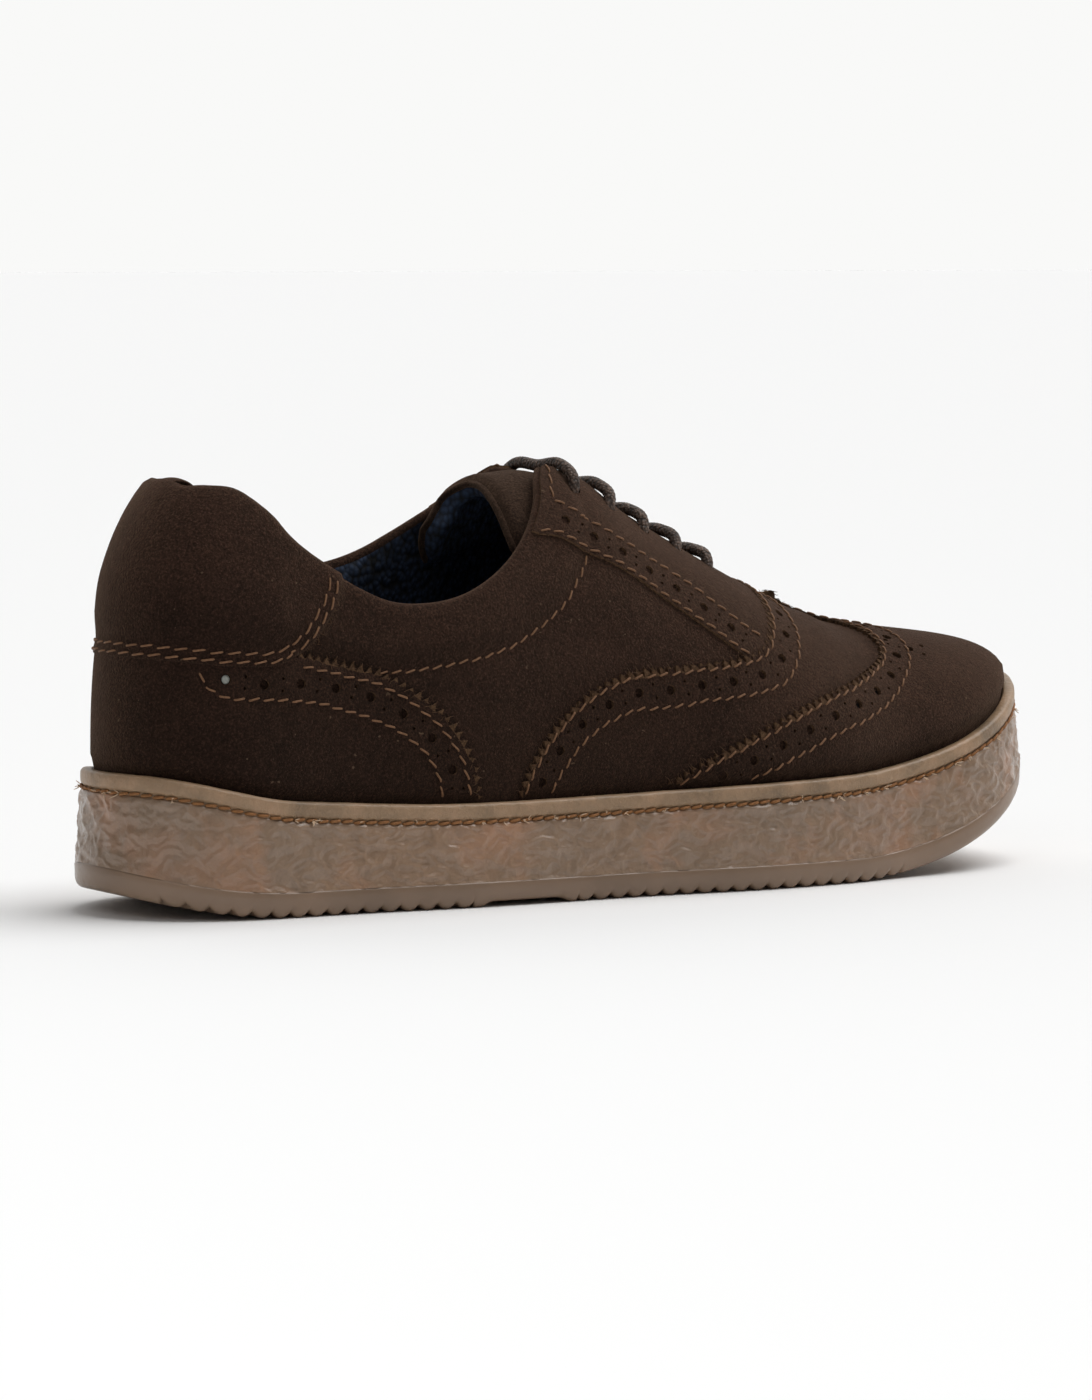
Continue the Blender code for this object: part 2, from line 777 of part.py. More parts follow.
def rolled_edge(outer, inner, loop):
    """Rows that round the collar over from its outer edge to its inner edge."""
    ahead = np.roll(loop, -1, axis=0) - np.roll(loop, 1, axis=0)
    square = np.stack([-ahead[:, 1], ahead[:, 0]], axis=1)
    square /= np.linalg.norm(square, axis=1)[:, None]
    probe = loop + square * 0.2 * MM
    away = 1 if inside_of(probe, loop).mean() > 0.5 else -1
    over = lift(loop + away * square * MM, 0) - lift(loop, 0)
    over /= np.linalg.norm(over, axis=1)[:, None]
    middle = (outer + inner) / 2
    half = (outer - inner) / 2
    size = np.linalg.norm(half, axis=1)[:, None]
    rows = []
    for turn in (0.2, 0.5, 0.8):
        angle = turn * math.pi
        rows.append(middle + half * math.cos(angle) + over * size * math.sin(angle) * 0.8)
    return rows


# Building the solids

COLLECTION = "casual_shoe"


def clear_scene():
    for thing in list(bpy.data.objects):
        bpy.data.objects.remove(thing, do_unlink=True)


def material(name, colour, roughness):
    made = bpy.data.materials.new(name)
    made.use_nodes = True
    shader = made.node_tree.nodes["Principled BSDF"]
    shader.inputs["Base Color"].default_value = (*colour, 1)
    shader.inputs["Roughness"].default_value = roughness
    shader.inputs["Metallic"].default_value = 0
    return made


def solid(name, points, faces):
    """A closed mesh object from points and faces, its normals facing out."""
    mesh = bpy.data.meshes.new(name)
    mesh.from_pydata([tuple(map(float, p)) for p in points], [], [tuple(map(int, f)) for f in faces])
    work = bmesh.new()
    work.from_mesh(mesh)
    bmesh.ops.remove_doubles(work, verts=work.verts, dist=1e-6)
    loose = [v for v in work.verts if not v.link_faces]
    bmesh.ops.delete(work, geom=loose, context="VERTS")
    bmesh.ops.recalc_face_normals(work, faces=work.faces)
    work.to_mesh(mesh)
    work.free()
    mesh.shade_smooth()
    mesh.set_sharp_from_angle(angle=math.radians(40))
    return bpy.data.objects.new(name, mesh)


def ladder(name, stations):
    """A solid through cross-sections, each listed down one side and back up the other."""
    count = len(stations[0])
    points = np.concatenate(stations)
    faces = []
    for k in range(len(stations) - 1):
        low, high = k * count, (k + 1) * count
        for i in range(count):
            j = (i + 1) % count
            faces.append((low + i, low + j, high + j, high + i))
    last = (len(stations) - 1) * count
    for i in range(count // 2 - 1):
        across = (i, i + 1, count - 2 - i, count - 1 - i)
        faces.append(across)
        faces.append([last + j for j in across[::-1]])
    return solid(name, points, faces)


# The sole


def lug_stations():
    """Places along the sole, as x and how deep the tread is cut there."""
    stations = []
    for start, end in TREAD_ZONES:
        for k in range(int((end - start) * LENGTH / LUG_PITCH)):
            x = start * LENGTH + k * LUG_PITCH
            stations += [(x, 0.0), (x + 0.55 * LUG_PITCH, 0.0), (x + 0.80 * LUG_PITCH, LUG_DEPTH)]
        stations.append((stations[-1][0] + 0.2 * LUG_PITCH, 0.0))
    waist = np.linspace(*WAIST, 5) * LENGTH
    stations += [(x, LUG_DEPTH) for x in waist]
    stations += [(x * LENGTH, 0.0) for x in SMOOTH_STATIONS]
    return sorted(stations)


def level_points(x, inset, z):
    """The lateral and medial points of the plan at x, moved in by inset, at height z."""
    pair = plan([around_at(x, -1), around_at(x, 1)], inset)
    height = z if np.ndim(z) else np.full(2, z)
    return np.concatenate([pair, height[:, None]], axis=1)


def make_outsole():
    """The smooth band and its cross-cut tread, from the floor to the bottom of the cup."""
    stations = []
    for x, cut in lug_stations():
        bottom = bottom_height(np.array([x]))[0]
        rows = (
            (-FLARE, bottom + OUTSOLE_THICKNESS),
            (-FLARE, bottom + 2.4 * MM),
            (-FLARE + 1.9 * MM, bottom + cut),
        )
        left = []
        right = []
        for inset, z in rows:
            pair = level_points(x, inset, z)
            left.append(pair[0])
            right.append(pair[1])
        stations.append(np.array(left + right[::-1]))
    return ladder("outsole", stations)


def band_top(x):
    return bottom_height(x) + OUTSOLE_THICKNESS + CLEARANCE


def level_ring(around, rows):
    """A cross-section: each row's point on the lateral side, then on the medial side in turn back."""
    sides = []
    for side in (-1, 1):
        each = []
        for inset, height in rows:
            place = plan([-side * around], inset)[0]
            x = np.array([plan([-side * around])[0, 0]])
            each.append((place[0], place[1], height(x)[0]))
        sides.append(each)
    return np.array(sides[0] + sides[1][::-1])


def make_cup():
    """The cup: side wall, stitch groove, lip and the floor that the foot stands over."""
    groove = LIP_DEPTH + GROOVE_HEIGHT
    rows = (
        (-FLARE, band_top),
        (-0.2 * MM, lambda x: lip_height(x) - groove - 0.4 * MM),
        (GROOVE_DEPTH, lambda x: lip_height(x) - groove),
        (GROOVE_DEPTH, lambda x: lip_height(x) - LIP_DEPTH),
        (0.0, lambda x: lip_height(x) - LIP_DEPTH + 0.4 * MM),
        (0.0, lambda x: lip_height(x) - 1.0 * MM),
        (1.0 * MM, lip_height),
        (LIP_WIDTH, lip_height),
        (LIP_WIDTH, lambda x: lip_height(x) - CUP_DEPTH),
    )
    return ladder("cup_sole", [level_ring(around, rows) for around in np.linspace(0, 1, SOLE_STEPS)])


def make_insole():
    """The footbed on the cup's floor, inside the upper."""
    inset = FOOT_INSET + WALL + SOFT_CLEARANCE
    low = CUP_DEPTH - CLEARANCE
    high = low - INSOLE_THICKNESS
    rows = (
        (inset, lambda x: lip_height(x) - low),
        (inset, lambda x: lip_height(x) - high - 1.0 * MM),
        (inset + 1.2 * MM, lambda x: lip_height(x) - high),
    )
    return ladder("insole", [level_ring(around, rows) for around in np.linspace(0, 1, INSOLE_STEPS)])


# The tongue and the lace


def make_tongue():
    """The tongue under the facings, its top edge standing behind them as an arch."""
    start, end = 0.405, 0.715
    across = 15
    rows = 16
    stations = []
    for row in range(rows):
        share = row / (rows - 1)
        x = LENGTH * (start + (end - start) * share)
        half = TONGUE_HALF_TOP + (TONGUE_HALF_END - TONGUE_HALF_TOP) * ease(share)
        round_end = 1 - 0.35 * max(0, 1 - share / 0.12) ** 2
        out = np.linspace(-1, 1, across) * half * round_end
        flat = np.stack([np.full(across, x), centre_line(np.full(across, x)) + out], axis=1)
        thin = 1 - 0.75 * (np.abs(np.linspace(-1, 1, across)) ** 6)
        end_round = 1 - 0.5 * max(0, 1 - share / 0.05)
        depth = WALL + SOFT_CLEARANCE + 1.0 * MM * (1 - ease(share / 0.2))
        middle = depth + TONGUE_THICKNESS / 2
        half_thick = TONGUE_THICKNESS / 2 * thin * end_round
        top = lift(flat, -(middle - half_thick))
        under = lift(flat, -(middle + half_thick))
        stations.append(np.concatenate([top, under[::-1]]))
    return ladder("tongue", stations)


def tube(name, points, diameter, sides=8):
    """A round cord along a smooth path, with flat ends."""
    along = np.gradient(points, axis=0)
    along /= np.linalg.norm(along, axis=1)[:, None]
    reference = np.array([1.0, 0.0, 0.0])
    turn = np.linspace(0, 2 * math.pi, sides, endpoint=False)
    stations = []
    for point, ahead in zip(points, along):
        first = reference - ahead * (reference @ ahead)
        first /= np.linalg.norm(first)
        second = np.cross(ahead, first)
        circle = np.cos(turn)[:, None] * first + np.sin(turn)[:, None] * second
        stations.append(point + circle * diameter / 2)
    return ladder(name, stations)


def make_lace_bars():
    """The lace's bars, each straight over the throat and down over the facings to its eyelets."""
    clear = CLEARANCE + LACE_DIAMETER / 2 + 0.2 * MM
    bars = []
    for number, (a, b) in enumerate(zip(eyelet_places(-1), eyelet_places(1)), start=1):
        half = throat_half(np.array([from_flat([a])[0][0]]))[0]
        drop = half + EYELET_INSET
        edge_a = a + (b - a) * 0.5 * (1 - half / drop)
        edge_b = b + (a - b) * 0.5 * (1 - half / drop)
        flat = np.array([a, (a + edge_a) / 2, edge_a, edge_b, (edge_b + b) / 2, b])
        ends = lift(flat, panel_height(flat) + clear)
        middle = (ends[2] + ends[3]) / 2 + np.array([0, 0, LACE_BOW])
        knots = np.concatenate([ends[:3], [middle], ends[3:]])
        run = np.r_[0, np.cumsum(np.linalg.norm(np.diff(knots, axis=0), axis=1))]
        at = np.linspace(0, run[-1], 17)
        path = np.stack([smooth_path(at, run, knots[:, k]) for k in range(3)], axis=1)
        bars.append(tube(f"lace_bar_{number}", path, LACE_DIAMETER))
    return bars


def main():
    clear_scene()
    place = bpy.data.collections.new(COLLECTION)
    bpy.context.scene.collection.children.link(place)
    suede = material("brown_suede", (0.036, 0.020, 0.013), 0.95)
    rubber = material("crepe_rubber", (0.24, 0.18, 0.13), 0.45)
    band = material("smooth_rubber", (0.20, 0.15, 0.11), 0.35)
    board = material("footbed", (0.05, 0.05, 0.06), 0.9)
    cord = material("lace_cord", (0.10, 0.075, 0.06), 0.6)
    pieces = [
        (make_outsole(), band),
        (make_cup(), rubber),
        (make_insole(), board),
        (make_upper(), suede),
        (make_tongue(), suede),
    ]
    pieces += [(bar, cord) for bar in make_lace_bars()]
    shoe = bpy.data.objects.new("shoe", None)
    place.objects.link(shoe)
    widest = max(PLANS[1][:, 1]) + min(PLANS[-1][:, 1])
    shoe.location = (-LENGTH / 2, -widest / 2, 0)
    for piece, finish in pieces:
        place.objects.link(piece)
        piece.data.materials.append(finish)
        piece.parent = shoe


main()
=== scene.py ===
"""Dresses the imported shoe: its suede sheets, stitches, lace, lining and crepe sole, with the studio."""

import math
import random

import bpy
import numpy as np
from mathutils import Matrix, Vector, noise
from mathutils.geometry import delaunay_2d_cdt


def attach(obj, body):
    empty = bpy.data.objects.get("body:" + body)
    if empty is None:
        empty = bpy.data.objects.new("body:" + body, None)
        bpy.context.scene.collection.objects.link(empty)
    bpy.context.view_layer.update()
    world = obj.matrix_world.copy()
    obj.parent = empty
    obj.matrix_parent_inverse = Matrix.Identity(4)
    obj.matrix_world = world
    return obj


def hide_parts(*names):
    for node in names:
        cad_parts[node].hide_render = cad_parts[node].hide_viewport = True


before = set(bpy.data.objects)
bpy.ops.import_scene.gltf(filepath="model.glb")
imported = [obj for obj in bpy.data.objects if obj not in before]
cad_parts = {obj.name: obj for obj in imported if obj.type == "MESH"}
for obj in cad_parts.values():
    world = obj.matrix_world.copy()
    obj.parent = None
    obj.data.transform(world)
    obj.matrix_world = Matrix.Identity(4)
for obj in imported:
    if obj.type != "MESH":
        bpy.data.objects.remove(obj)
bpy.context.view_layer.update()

MM = 0.001

# Sole
LENGTH = 300.0 * MM
BALL_HALF = 51.1 * MM
SOLE_HEIGHT = 29.4 * MM
TOE_SPRING = 27.8 * MM
HEEL_LIFT = 7.0 * MM
OUTSOLE_THICKNESS = 7.0 * MM
FLARE = 1.7 * MM
LIP_WIDTH = 3.5 * MM
LIP_DEPTH = 4.2 * MM
GROOVE_DEPTH = 0.8 * MM
GROOVE_HEIGHT = 1.2 * MM
CUP_DEPTH = 7.0 * MM
LUG_PITCH = 5.4 * MM
LUG_DEPTH = 1.4 * MM

# Upper
INSTEP_HEIGHT = 120.0 * MM
WALL = 2.2 * MM
COLLAR_PAD = 3.2 * MM
COLLAR_PAD_REACH = 30.0 * MM
THROAT_HALF_TOP = 11.0 * MM
THROAT_HALF_END = 8.0 * MM
EYELETS = 5
EYELET_HOLE = 3.6 * MM
EYELET_INSET = 8.8 * MM

# Tongue and lace
TONGUE_THICKNESS = 4.0 * MM
TONGUE_HALF_TOP = 37.0 * MM
TONGUE_HALF_END = 26.0 * MM
LACE_DIAMETER = 3.3 * MM

CLEARANCE = 0.3 * MM
SOFT_CLEARANCE = 0.6 * MM

# How round the plan is at the heel and at the toe, as the exponent of its curve.
HEEL_ROUND = 2.08
TOE_ROUND = 2.35

# The plan of the lip. Along is a share of LENGTH, the rest are shares of BALL_HALF.
PLAN = (
    # along, lateral half width, medial half width, centre line
    (0.150, 0.734, 0.616, -0.059), (0.333, 0.854, 0.640, -0.050), (0.500, 0.907, 0.800, 0.000),
    (0.640, 0.998, 0.960, 0.055), (0.730, 0.983, 1.000, 0.090), (0.800, 0.911, 0.950, 0.104),
)

# The lip's height in side view. Along is a share of LENGTH, height of SOLE_HEIGHT.
LIP = (
    # along, height
    (0.000, 1.319), (0.150, 1.058), (0.333, 0.962), (0.667, 1.018), (0.900, 1.118), (1.000, 1.181),
)
SPRING_FROM = 0.724
LIFT_TO = 0.150
LIP_SPRING = 0.75

# Stretches of the sole, as shares of LENGTH: the two that are cut across, the recessed waist
# between them and the smooth ends.
TREAD_ZONES = ((0.030, 0.318), (0.424, 0.794))
WAIST = (0.338, 0.405)

# Sections of the last. Along is a share of LENGTH and ridge a share of INSTEP_HEIGHT. Wall and
# crown are the exponents of each section's curve, up its side and across its top.
SECTIONS = (
    # along, ridge, wall, crown
    (0.000, 1.044, 2.60, 2.20), (0.150, 1.017, 2.50, 2.10), (0.300, 0.996, 2.30, 2.10),
    (0.440, 1.000, 2.20, 2.10), (0.480, 0.985, 2.20, 2.10), (0.553, 0.873, 2.20, 2.10),
    (0.633, 0.764, 2.20, 2.10), (0.703, 0.677, 2.20, 2.10), (0.750, 0.625, 2.15, 2.10),
    (0.800, 0.581, 2.10, 2.10), (0.850, 0.560, 2.00, 2.20), (1.000, 0.560, 1.90, 2.60),
)
TOE_TILT = 0.22

# Edges drawn on the last. Around runs from 0 at the heel's back to 1 at the toe's tip, and rise
# from 0 at the lip to 1 at the ridge.
TOPLINE = (
    # around, lateral rise, medial rise
    (0.000, 0.742, 0.742), (0.020, 0.745, 0.745), (0.055, 0.736, 0.736), (0.088, 0.755, 0.755),
    (0.122, 0.772, 0.772), (0.148, 0.757, 0.757), (0.170, 0.726, 0.732), (0.187, 0.670, 0.697),
    (0.216, 0.606, 0.640), (0.243, 0.550, 0.605), (0.270, 0.512, 0.596), (0.300, 0.505, 0.606),
    (0.332, 0.520, 0.640), (0.360, 0.560, 0.690), (0.387, 0.625, 0.745), (0.405, 0.690, 0.785),
    (0.420, 0.765, 0.820), (0.431, 0.845, 0.860),
)
EYESTAY_CORNER = 0.441
THROAT_END = 0.622

WING_EDGE = (
    # around, rise
    (0.492, 0.000), (0.532, 0.075), (0.594, 0.176), (0.640, 0.257), (0.705, 0.371), (0.732, 0.446),
    (0.752, 0.525), (0.765, 0.620), (0.772, 0.710), (0.768, 0.790), (0.752, 0.860), (0.725, 0.930),
    (0.697, 1.000),
)
VAMP_EDGE = (
    # around, rise
    (0.368, 0.000), (0.377, 0.069), (0.412, 0.208), (0.463, 0.302), (0.517, 0.346), (0.578, 0.390),
    (0.600, 0.421), (0.616, 0.497), (0.627, 0.591), (0.634, 0.700), (0.639, 0.850), (0.641, 1.000),
)
EYESTAY_EDGE = (
    # around, rise
    (0.411, 0.688), (0.427, 0.679), (0.450, 0.642), (0.504, 0.580), (0.553, 0.490), (0.590, 0.400),
)
COUNTER_EDGE = (
    # around, rise
    (0.333, 0.000), (0.330, 0.069), (0.321, 0.145), (0.305, 0.214), (0.279, 0.283), (0.253, 0.327),
    (0.227, 0.346), (0.187, 0.371), (0.100, 0.371), (0.000, 0.371),
)
PATCH_EDGE = (
    # around, rise
    (0.2285, 0.574), (0.224, 0.535), (0.216, 0.484), (0.206, 0.440), (0.192, 0.390), (0.177, 0.360),
    (0.127, 0.318), (0.059, 0.292), (0.000, 0.288),
)

RIB_STEPS = 40
PLAN_STEPS = 1200
PLAN_SOFTNESS = 9.0 * MM
FOOT_INSET = LIP_WIDTH + CLEARANCE


def column(table, index):
    return np.array([row[index] for row in table], float)


def smooth(x, xs, ys):
    """A curve through the points that never overshoots them, flat beyond its ends."""
    x = np.clip(np.asarray(x, float), xs[0], xs[-1])
    step = np.diff(xs)
    rise = np.diff(ys) / step
    slope = np.zeros(len(xs))
    same = rise[:-1] * rise[1:] > 0
    before = np.where(same, rise[:-1], 1)
    after = np.where(same, rise[1:], 1)
    wa = 2 * step[1:] + step[:-1]
    wb = step[1:] + 2 * step[:-1]
    slope[1:-1] = np.where(same, (wa + wb) / (wa / before + wb / after), 0)
    at = np.clip(np.searchsorted(xs, x, side="right") - 1, 0, len(xs) - 2)
    h = step[at]
    t = (x - xs[at]) / h
    return (
        ys[at] * (1 + 2 * t) * (1 - t) ** 2
        + slope[at] * h * t * (1 - t) ** 2
        + ys[at + 1] * t * t * (3 - 2 * t)
        + slope[at + 1] * h * t * t * (t - 1)
    )


def ease(t):
    """A step from 0 to 1 with soft ends."""
    t = np.clip(t, 0, 1)
    return t * t * (3 - 2 * t)


def spring(x):
    """How far the floor side of the sole curls up at the toe, and lifts at the heel's back."""
    toe = np.clip((x / LENGTH - SPRING_FROM) / (1 - SPRING_FROM), 0, 1)
    heel = np.clip(1 - x / LENGTH / LIFT_TO, 0, 1)
    return TOE_SPRING * toe**2, HEEL_LIFT * heel**2


def bottom_height(x):
    toe, heel = spring(x)
    return toe + heel


def lip_height(x):
    toe, _ = spring(x)
    return SOLE_HEIGHT * smooth(x / LENGTH, column(LIP, 0), column(LIP, 1)) + LIP_SPRING * toe


def centre_line(x):
    return BALL_HALF * smooth(x / LENGTH, column(PLAN, 0), column(PLAN, 3))


def half_plan(side):
    """One side of the lip's plan, from the heel's back to the toe's tip, as its table draws it."""
    along = column(PLAN, 0)
    width = column(PLAN, 1 if side < 0 else 2) * side
    centre = column(PLAN, 3)
    turn = np.linspace(0, math.pi / 2, PLAN_STEPS)
    heel_x = along[0] * (1 - np.cos(turn) ** (2 / HEEL_ROUND))
    heel_y = centre[0] + (width[0] - centre[0]) * np.sin(turn) ** (2 / HEEL_ROUND)
    side_x = np.linspace(along[0], along[-1], PLAN_STEPS)[1:-1]
    side_y = smooth(side_x, along, width)
    toe_x = along[-1] + (1 - along[-1]) * np.sin(turn) ** (2 / TOE_ROUND)
    toe_y = centre[-1] + (width[-1] - centre[-1]) * np.cos(turn) ** (2 / TOE_ROUND)
    x = np.r_[heel_x, side_x, toe_x] * LENGTH
    y = np.r_[heel_y, side_y, toe_y] * BALL_HALF
    return even_points(np.stack([x, y], axis=1))


def even_points(line):
    run = np.r_[0, np.cumsum(np.hypot(*np.diff(line, axis=0).T))]
    keep = np.r_[True, np.diff(run) > 1e-9]
    even = np.linspace(0, run[-1], PLAN_STEPS)
    return np.stack([np.interp(even, run[keep], line[keep, k]) for k in (0, 1)], axis=1)


def blurred(loop):
    """The loop averaged along itself, over a bell as wide as PLAN_SOFTNESS."""
    count = len(loop)
    gap = np.hypot(*np.diff(loop, axis=0).T).mean()
    reach = int(4 * PLAN_SOFTNESS / gap)
    weight = np.exp(-0.5 * (np.arange(-reach, reach + 1) * gap / PLAN_SOFTNESS) ** 2)
    weight /= weight.sum()
    around = np.concatenate([loop[-reach:], loop, loop[:reach]])
    return np.stack([np.convolve(around[:, k], weight, "valid")[:count] for k in (0, 1)], axis=1)


def softened_plans():
    """Both sides of the plan with the joins of their curves smoothed out."""
    lateral = half_plan(-1)
    medial = half_plan(1)
    loop = np.concatenate([lateral, medial[::-1][1:-1]])
    once = blurred(loop)
    loop = 2 * once - blurred(once)
    low, high = loop[:, 0].min(), loop[:, 0].max()
    loop[:, 0] = (loop[:, 0] - low) / (high - low) * LENGTH
    lateral = loop[:PLAN_STEPS]
    medial = np.concatenate([loop[:1], loop[PLAN_STEPS - 1 :][::-1]])
    return {-1: even_points(lateral), 1: even_points(medial)}


def inward(line, side):
    """The unit direction square to the plan at each of its points, towards the middle of the shoe."""
    along = np.gradient(line, axis=0)
    along[0] = (0, side)
    along[-1] = (0, -side)
    along /= np.linalg.norm(along, axis=1)[:, None]
    return side * np.stack([along[:, 1], -along[:, 0]], axis=1)


PLANS = softened_plans()
INWARD = {side: inward(PLANS[side], side) for side in (-1, 1)}
PLAN_SHARE = np.linspace(0, 1, PLAN_STEPS)
HEEL_X = PLAN[0][0] * LENGTH
TOE_X = PLAN[-1][0] * LENGTH


def plan(around, inset=0.0):
    """Points of the plan moved in by inset. Around is negative on the medial side."""
    around = np.atleast_1d(np.asarray(around, float))
    inset = np.broadcast_to(inset, around.shape)
    out = np.zeros((len(around), 2))
    for side in (-1, 1):
        mine = (around >= 0) == (side < 0)
        for k in (0, 1):
            on_line = np.interp(np.abs(around[mine]), PLAN_SHARE, PLANS[side][:, k])
            square = np.interp(np.abs(around[mine]), PLAN_SHARE, INWARD[side][:, k])
            out[mine, k] = on_line + square * inset[mine]
    return out


def around_at(x, side):
    """The place around the plan where it has this x."""
    share = np.interp(x, PLANS[side][:, 0], PLAN_SHARE)
    return share if side < 0 else -share


def ribs(around):
    """The last's curve up from each foot point to the centre line, with the distance run along it."""
    around = np.atleast_1d(np.asarray(around, float))
    foot = plan(around, FOOT_INSET)
    head_x = np.clip(foot[:, 0], HEEL_X, TOE_X)
    head = np.stack([head_x, centre_line(head_x)], axis=1)
    low = lip_height(plan(around)[:, 0])
    along = column(SECTIONS, 0)
    station = foot[:, 0] / LENGTH
    top = INSTEP_HEIGHT * smooth(np.minimum(station, TOE_X / LENGTH), along, column(SECTIONS, 1))
    wall = smooth(station, along, column(SECTIONS, 2))
    crown = smooth(station, along, column(SECTIONS, 3))
    turn = np.linspace(0, math.pi / 2, RIB_STEPS)[None, :]
    up = np.sin(turn) ** (2 / wall[:, None])
    out = np.cos(turn) ** (2 / crown[:, None])
    out[:, -1] = 0
    reach = foot - head
    level = head[:, None, :] + reach[:, None, :] * out[:, :, None]
    forward = np.where(foot[:, 0] > TOE_X, reach[:, 0], 0)
    height = low[:, None] + (top - low)[:, None] * up - TOE_TILT * forward[:, None] * out * (1 - out)
    curve = np.concatenate([level, height[:, :, None]], axis=2)
    lengths = np.linalg.norm(np.diff(curve, axis=1), axis=2)
    run = np.concatenate([np.zeros((len(around), 1)), np.cumsum(lengths, axis=1)], axis=1)
    return curve, run


def rib_length(around):
    return ribs(around)[1][:, -1]


def on_last(around, up):
    """The last's surface at a distance up the rib from the lip, or straight down inside the cup."""
    around = np.atleast_1d(np.asarray(around, float))
    up = np.broadcast_to(np.asarray(up, float), around.shape)
    curve, run = ribs(around)
    inside = np.clip(up, 0, run[:, -1])
    at = np.clip((run <= inside[:, None]).sum(axis=1) - 1, 0, RIB_STEPS - 2)
    row = np.arange(len(around))
    t = ((inside - run[row, at]) / np.maximum(run[row, at + 1] - run[row, at], 1e-12))[:, None]
    point = curve[row, at] * (1 - t) + curve[row, at + 1] * t
    point[:, 2] += np.minimum(up, 0)
    return point


# The last unrolled flat: each rib is laid out straight from its head on the centre line.


def flat_tables():
    tables = {}
    for side in (-1, 1):
        around = -side * np.linspace(0, 1, 600)
        foot = plan(around, FOOT_INSET)
        heel = np.arctan2(np.abs(foot[:, 1] - centre_line(HEEL_X)), HEEL_X - foot[:, 0])
        toe = np.arctan2(foot[:, 0] - TOE_X, np.abs(foot[:, 1] - centre_line(TOE_X)))
        tables[side] = (np.abs(around), foot[:, 0], heel, toe)
    return tables


FLAT = flat_tables()


def to_flat(around, up):
    around = np.atleast_1d(np.asarray(around, float))
    foot = plan(around, FOOT_INSET)
    head_x = np.clip(foot[:, 0], HEEL_X, TOE_X)
    head = np.stack([head_x, centre_line(head_x)], axis=1)
    reach = foot - head
    reach /= np.linalg.norm(reach, axis=1)[:, None]
    return head + reach * (rib_length(around) - up)[:, None]


def from_flat(points):
    """Around and up for each point of the flat pattern."""
    points = np.atleast_2d(points)
    head_x = np.clip(points[:, 0], HEEL_X, TOE_X)
    head_y = centre_line(head_x)
    around = np.zeros(len(points))
    for side in (-1, 1):
        share, foot_x, heel, toe = FLAT[side]
        mine = (points[:, 1] < head_y) == (side < 0)
        p = points[mine]
        out = np.maximum(np.abs(p[:, 1] - head_y[mine]), 1e-9)
        found = np.interp(p[:, 0], foot_x, share)
        behind = p[:, 0] < HEEL_X
        before = p[:, 0] > TOE_X
        backwards = foot_x <= HEEL_X
        forwards = foot_x >= TOE_X
        found[behind] = np.interp(
            np.arctan2(out[behind], HEEL_X - p[behind, 0]), heel[backwards], share[backwards]
        )
        found[before] = np.interp(
            np.arctan2(p[before, 0] - TOE_X, out[before]), toe[forwards], share[forwards]
        )
        around[mine] = -side * found
    away = np.hypot(points[:, 0] - head_x, points[:, 1] - head_y)
    return around, rib_length(around) - away


def lift(points, offset):
    """Points of the flat pattern on the last, moved out along its normal by offset."""
    points = np.atleast_2d(points)
    step = 0.3 * MM
    low = -CUP_DEPTH
    around, up = from_flat(points)
    here = on_last(around, up)
    sides = []
    for move in ((step, 0), (-step, 0), (0, step), (0, -step)):
        a, u = from_flat(points + np.array(move))
        sides.append(on_last(a, np.maximum(u, low)))
    normal = np.cross(sides[0] - sides[1], sides[2] - sides[3])
    inside = up <= step
    foot = plan(around, FOOT_INSET)
    deeper = plan(around, FOOT_INSET + MM)
    level = np.concatenate([foot - deeper, np.zeros((len(foot), 1))], axis=1)
    normal = np.where(inside[:, None], level, normal)
    normal /= np.maximum(np.linalg.norm(normal, axis=1), 1e-12)[:, None]
    return here + normal * np.broadcast_to(offset, len(points))[:, None]


def drawn(table, side=-1):
    """An edge drawn on the last, as points of the flat pattern spaced for the mesh."""
    around = column(table, 0)
    rise = column(table, 1)
    run = np.r_[0, np.cumsum(np.hypot(np.diff(around) * 3, np.diff(rise)))]
    fine = np.linspace(0, run[-1], 240)
    around = smooth_path(fine, run, around) * -side
    rise = smooth_path(fine, run, rise)
    return to_flat(around, rise * rib_length(around))


def smooth_path(at, run, values):
    """A Catmull-Rom curve through the values."""
    slope = np.gradient(values, run)
    k = np.clip(np.searchsorted(run, at, side="right") - 1, 0, len(run) - 2)
    h = run[k + 1] - run[k]
    t = (at - run[k]) / h
    return (
        values[k] * (1 + 2 * t) * (1 - t) ** 2
        + slope[k] * h * t * (1 - t) ** 2
        + values[k + 1] * t * t * (3 - 2 * t)
        + slope[k + 1] * h * t * t * (t - 1)
    )


def spaced(line, gap):
    """The line again, with its points about this far apart."""
    run = np.r_[0, np.cumsum(np.linalg.norm(np.diff(line, axis=0), axis=1))]
    count = max(2, int(round(run[-1] / gap)) + 1)
    even = np.linspace(0, run[-1], count)
    return np.stack([np.interp(even, run, line[:, k]) for k in range(line.shape[1])], axis=1)


def beside(line, distance):
    """The line moved to its left by a distance."""
    along = np.gradient(line, axis=0)
    along /= np.linalg.norm(along, axis=1)[:, None]
    return line + distance * np.stack([-along[:, 1], along[:, 0]], axis=1)


def inside_of(points, polygon):
    inside = np.zeros(len(points), bool)
    x, y = points[:, 0], points[:, 1]
    for (ax, ay), (bx, by) in zip(polygon, np.roll(polygon, -1, axis=0)):
        spans = (ay > y) != (by > y)
        cross = ax + (y - ay) * (bx - ax) / (by - ay if by != ay else 1e-12)
        inside ^= spans & (x < cross)
    return inside


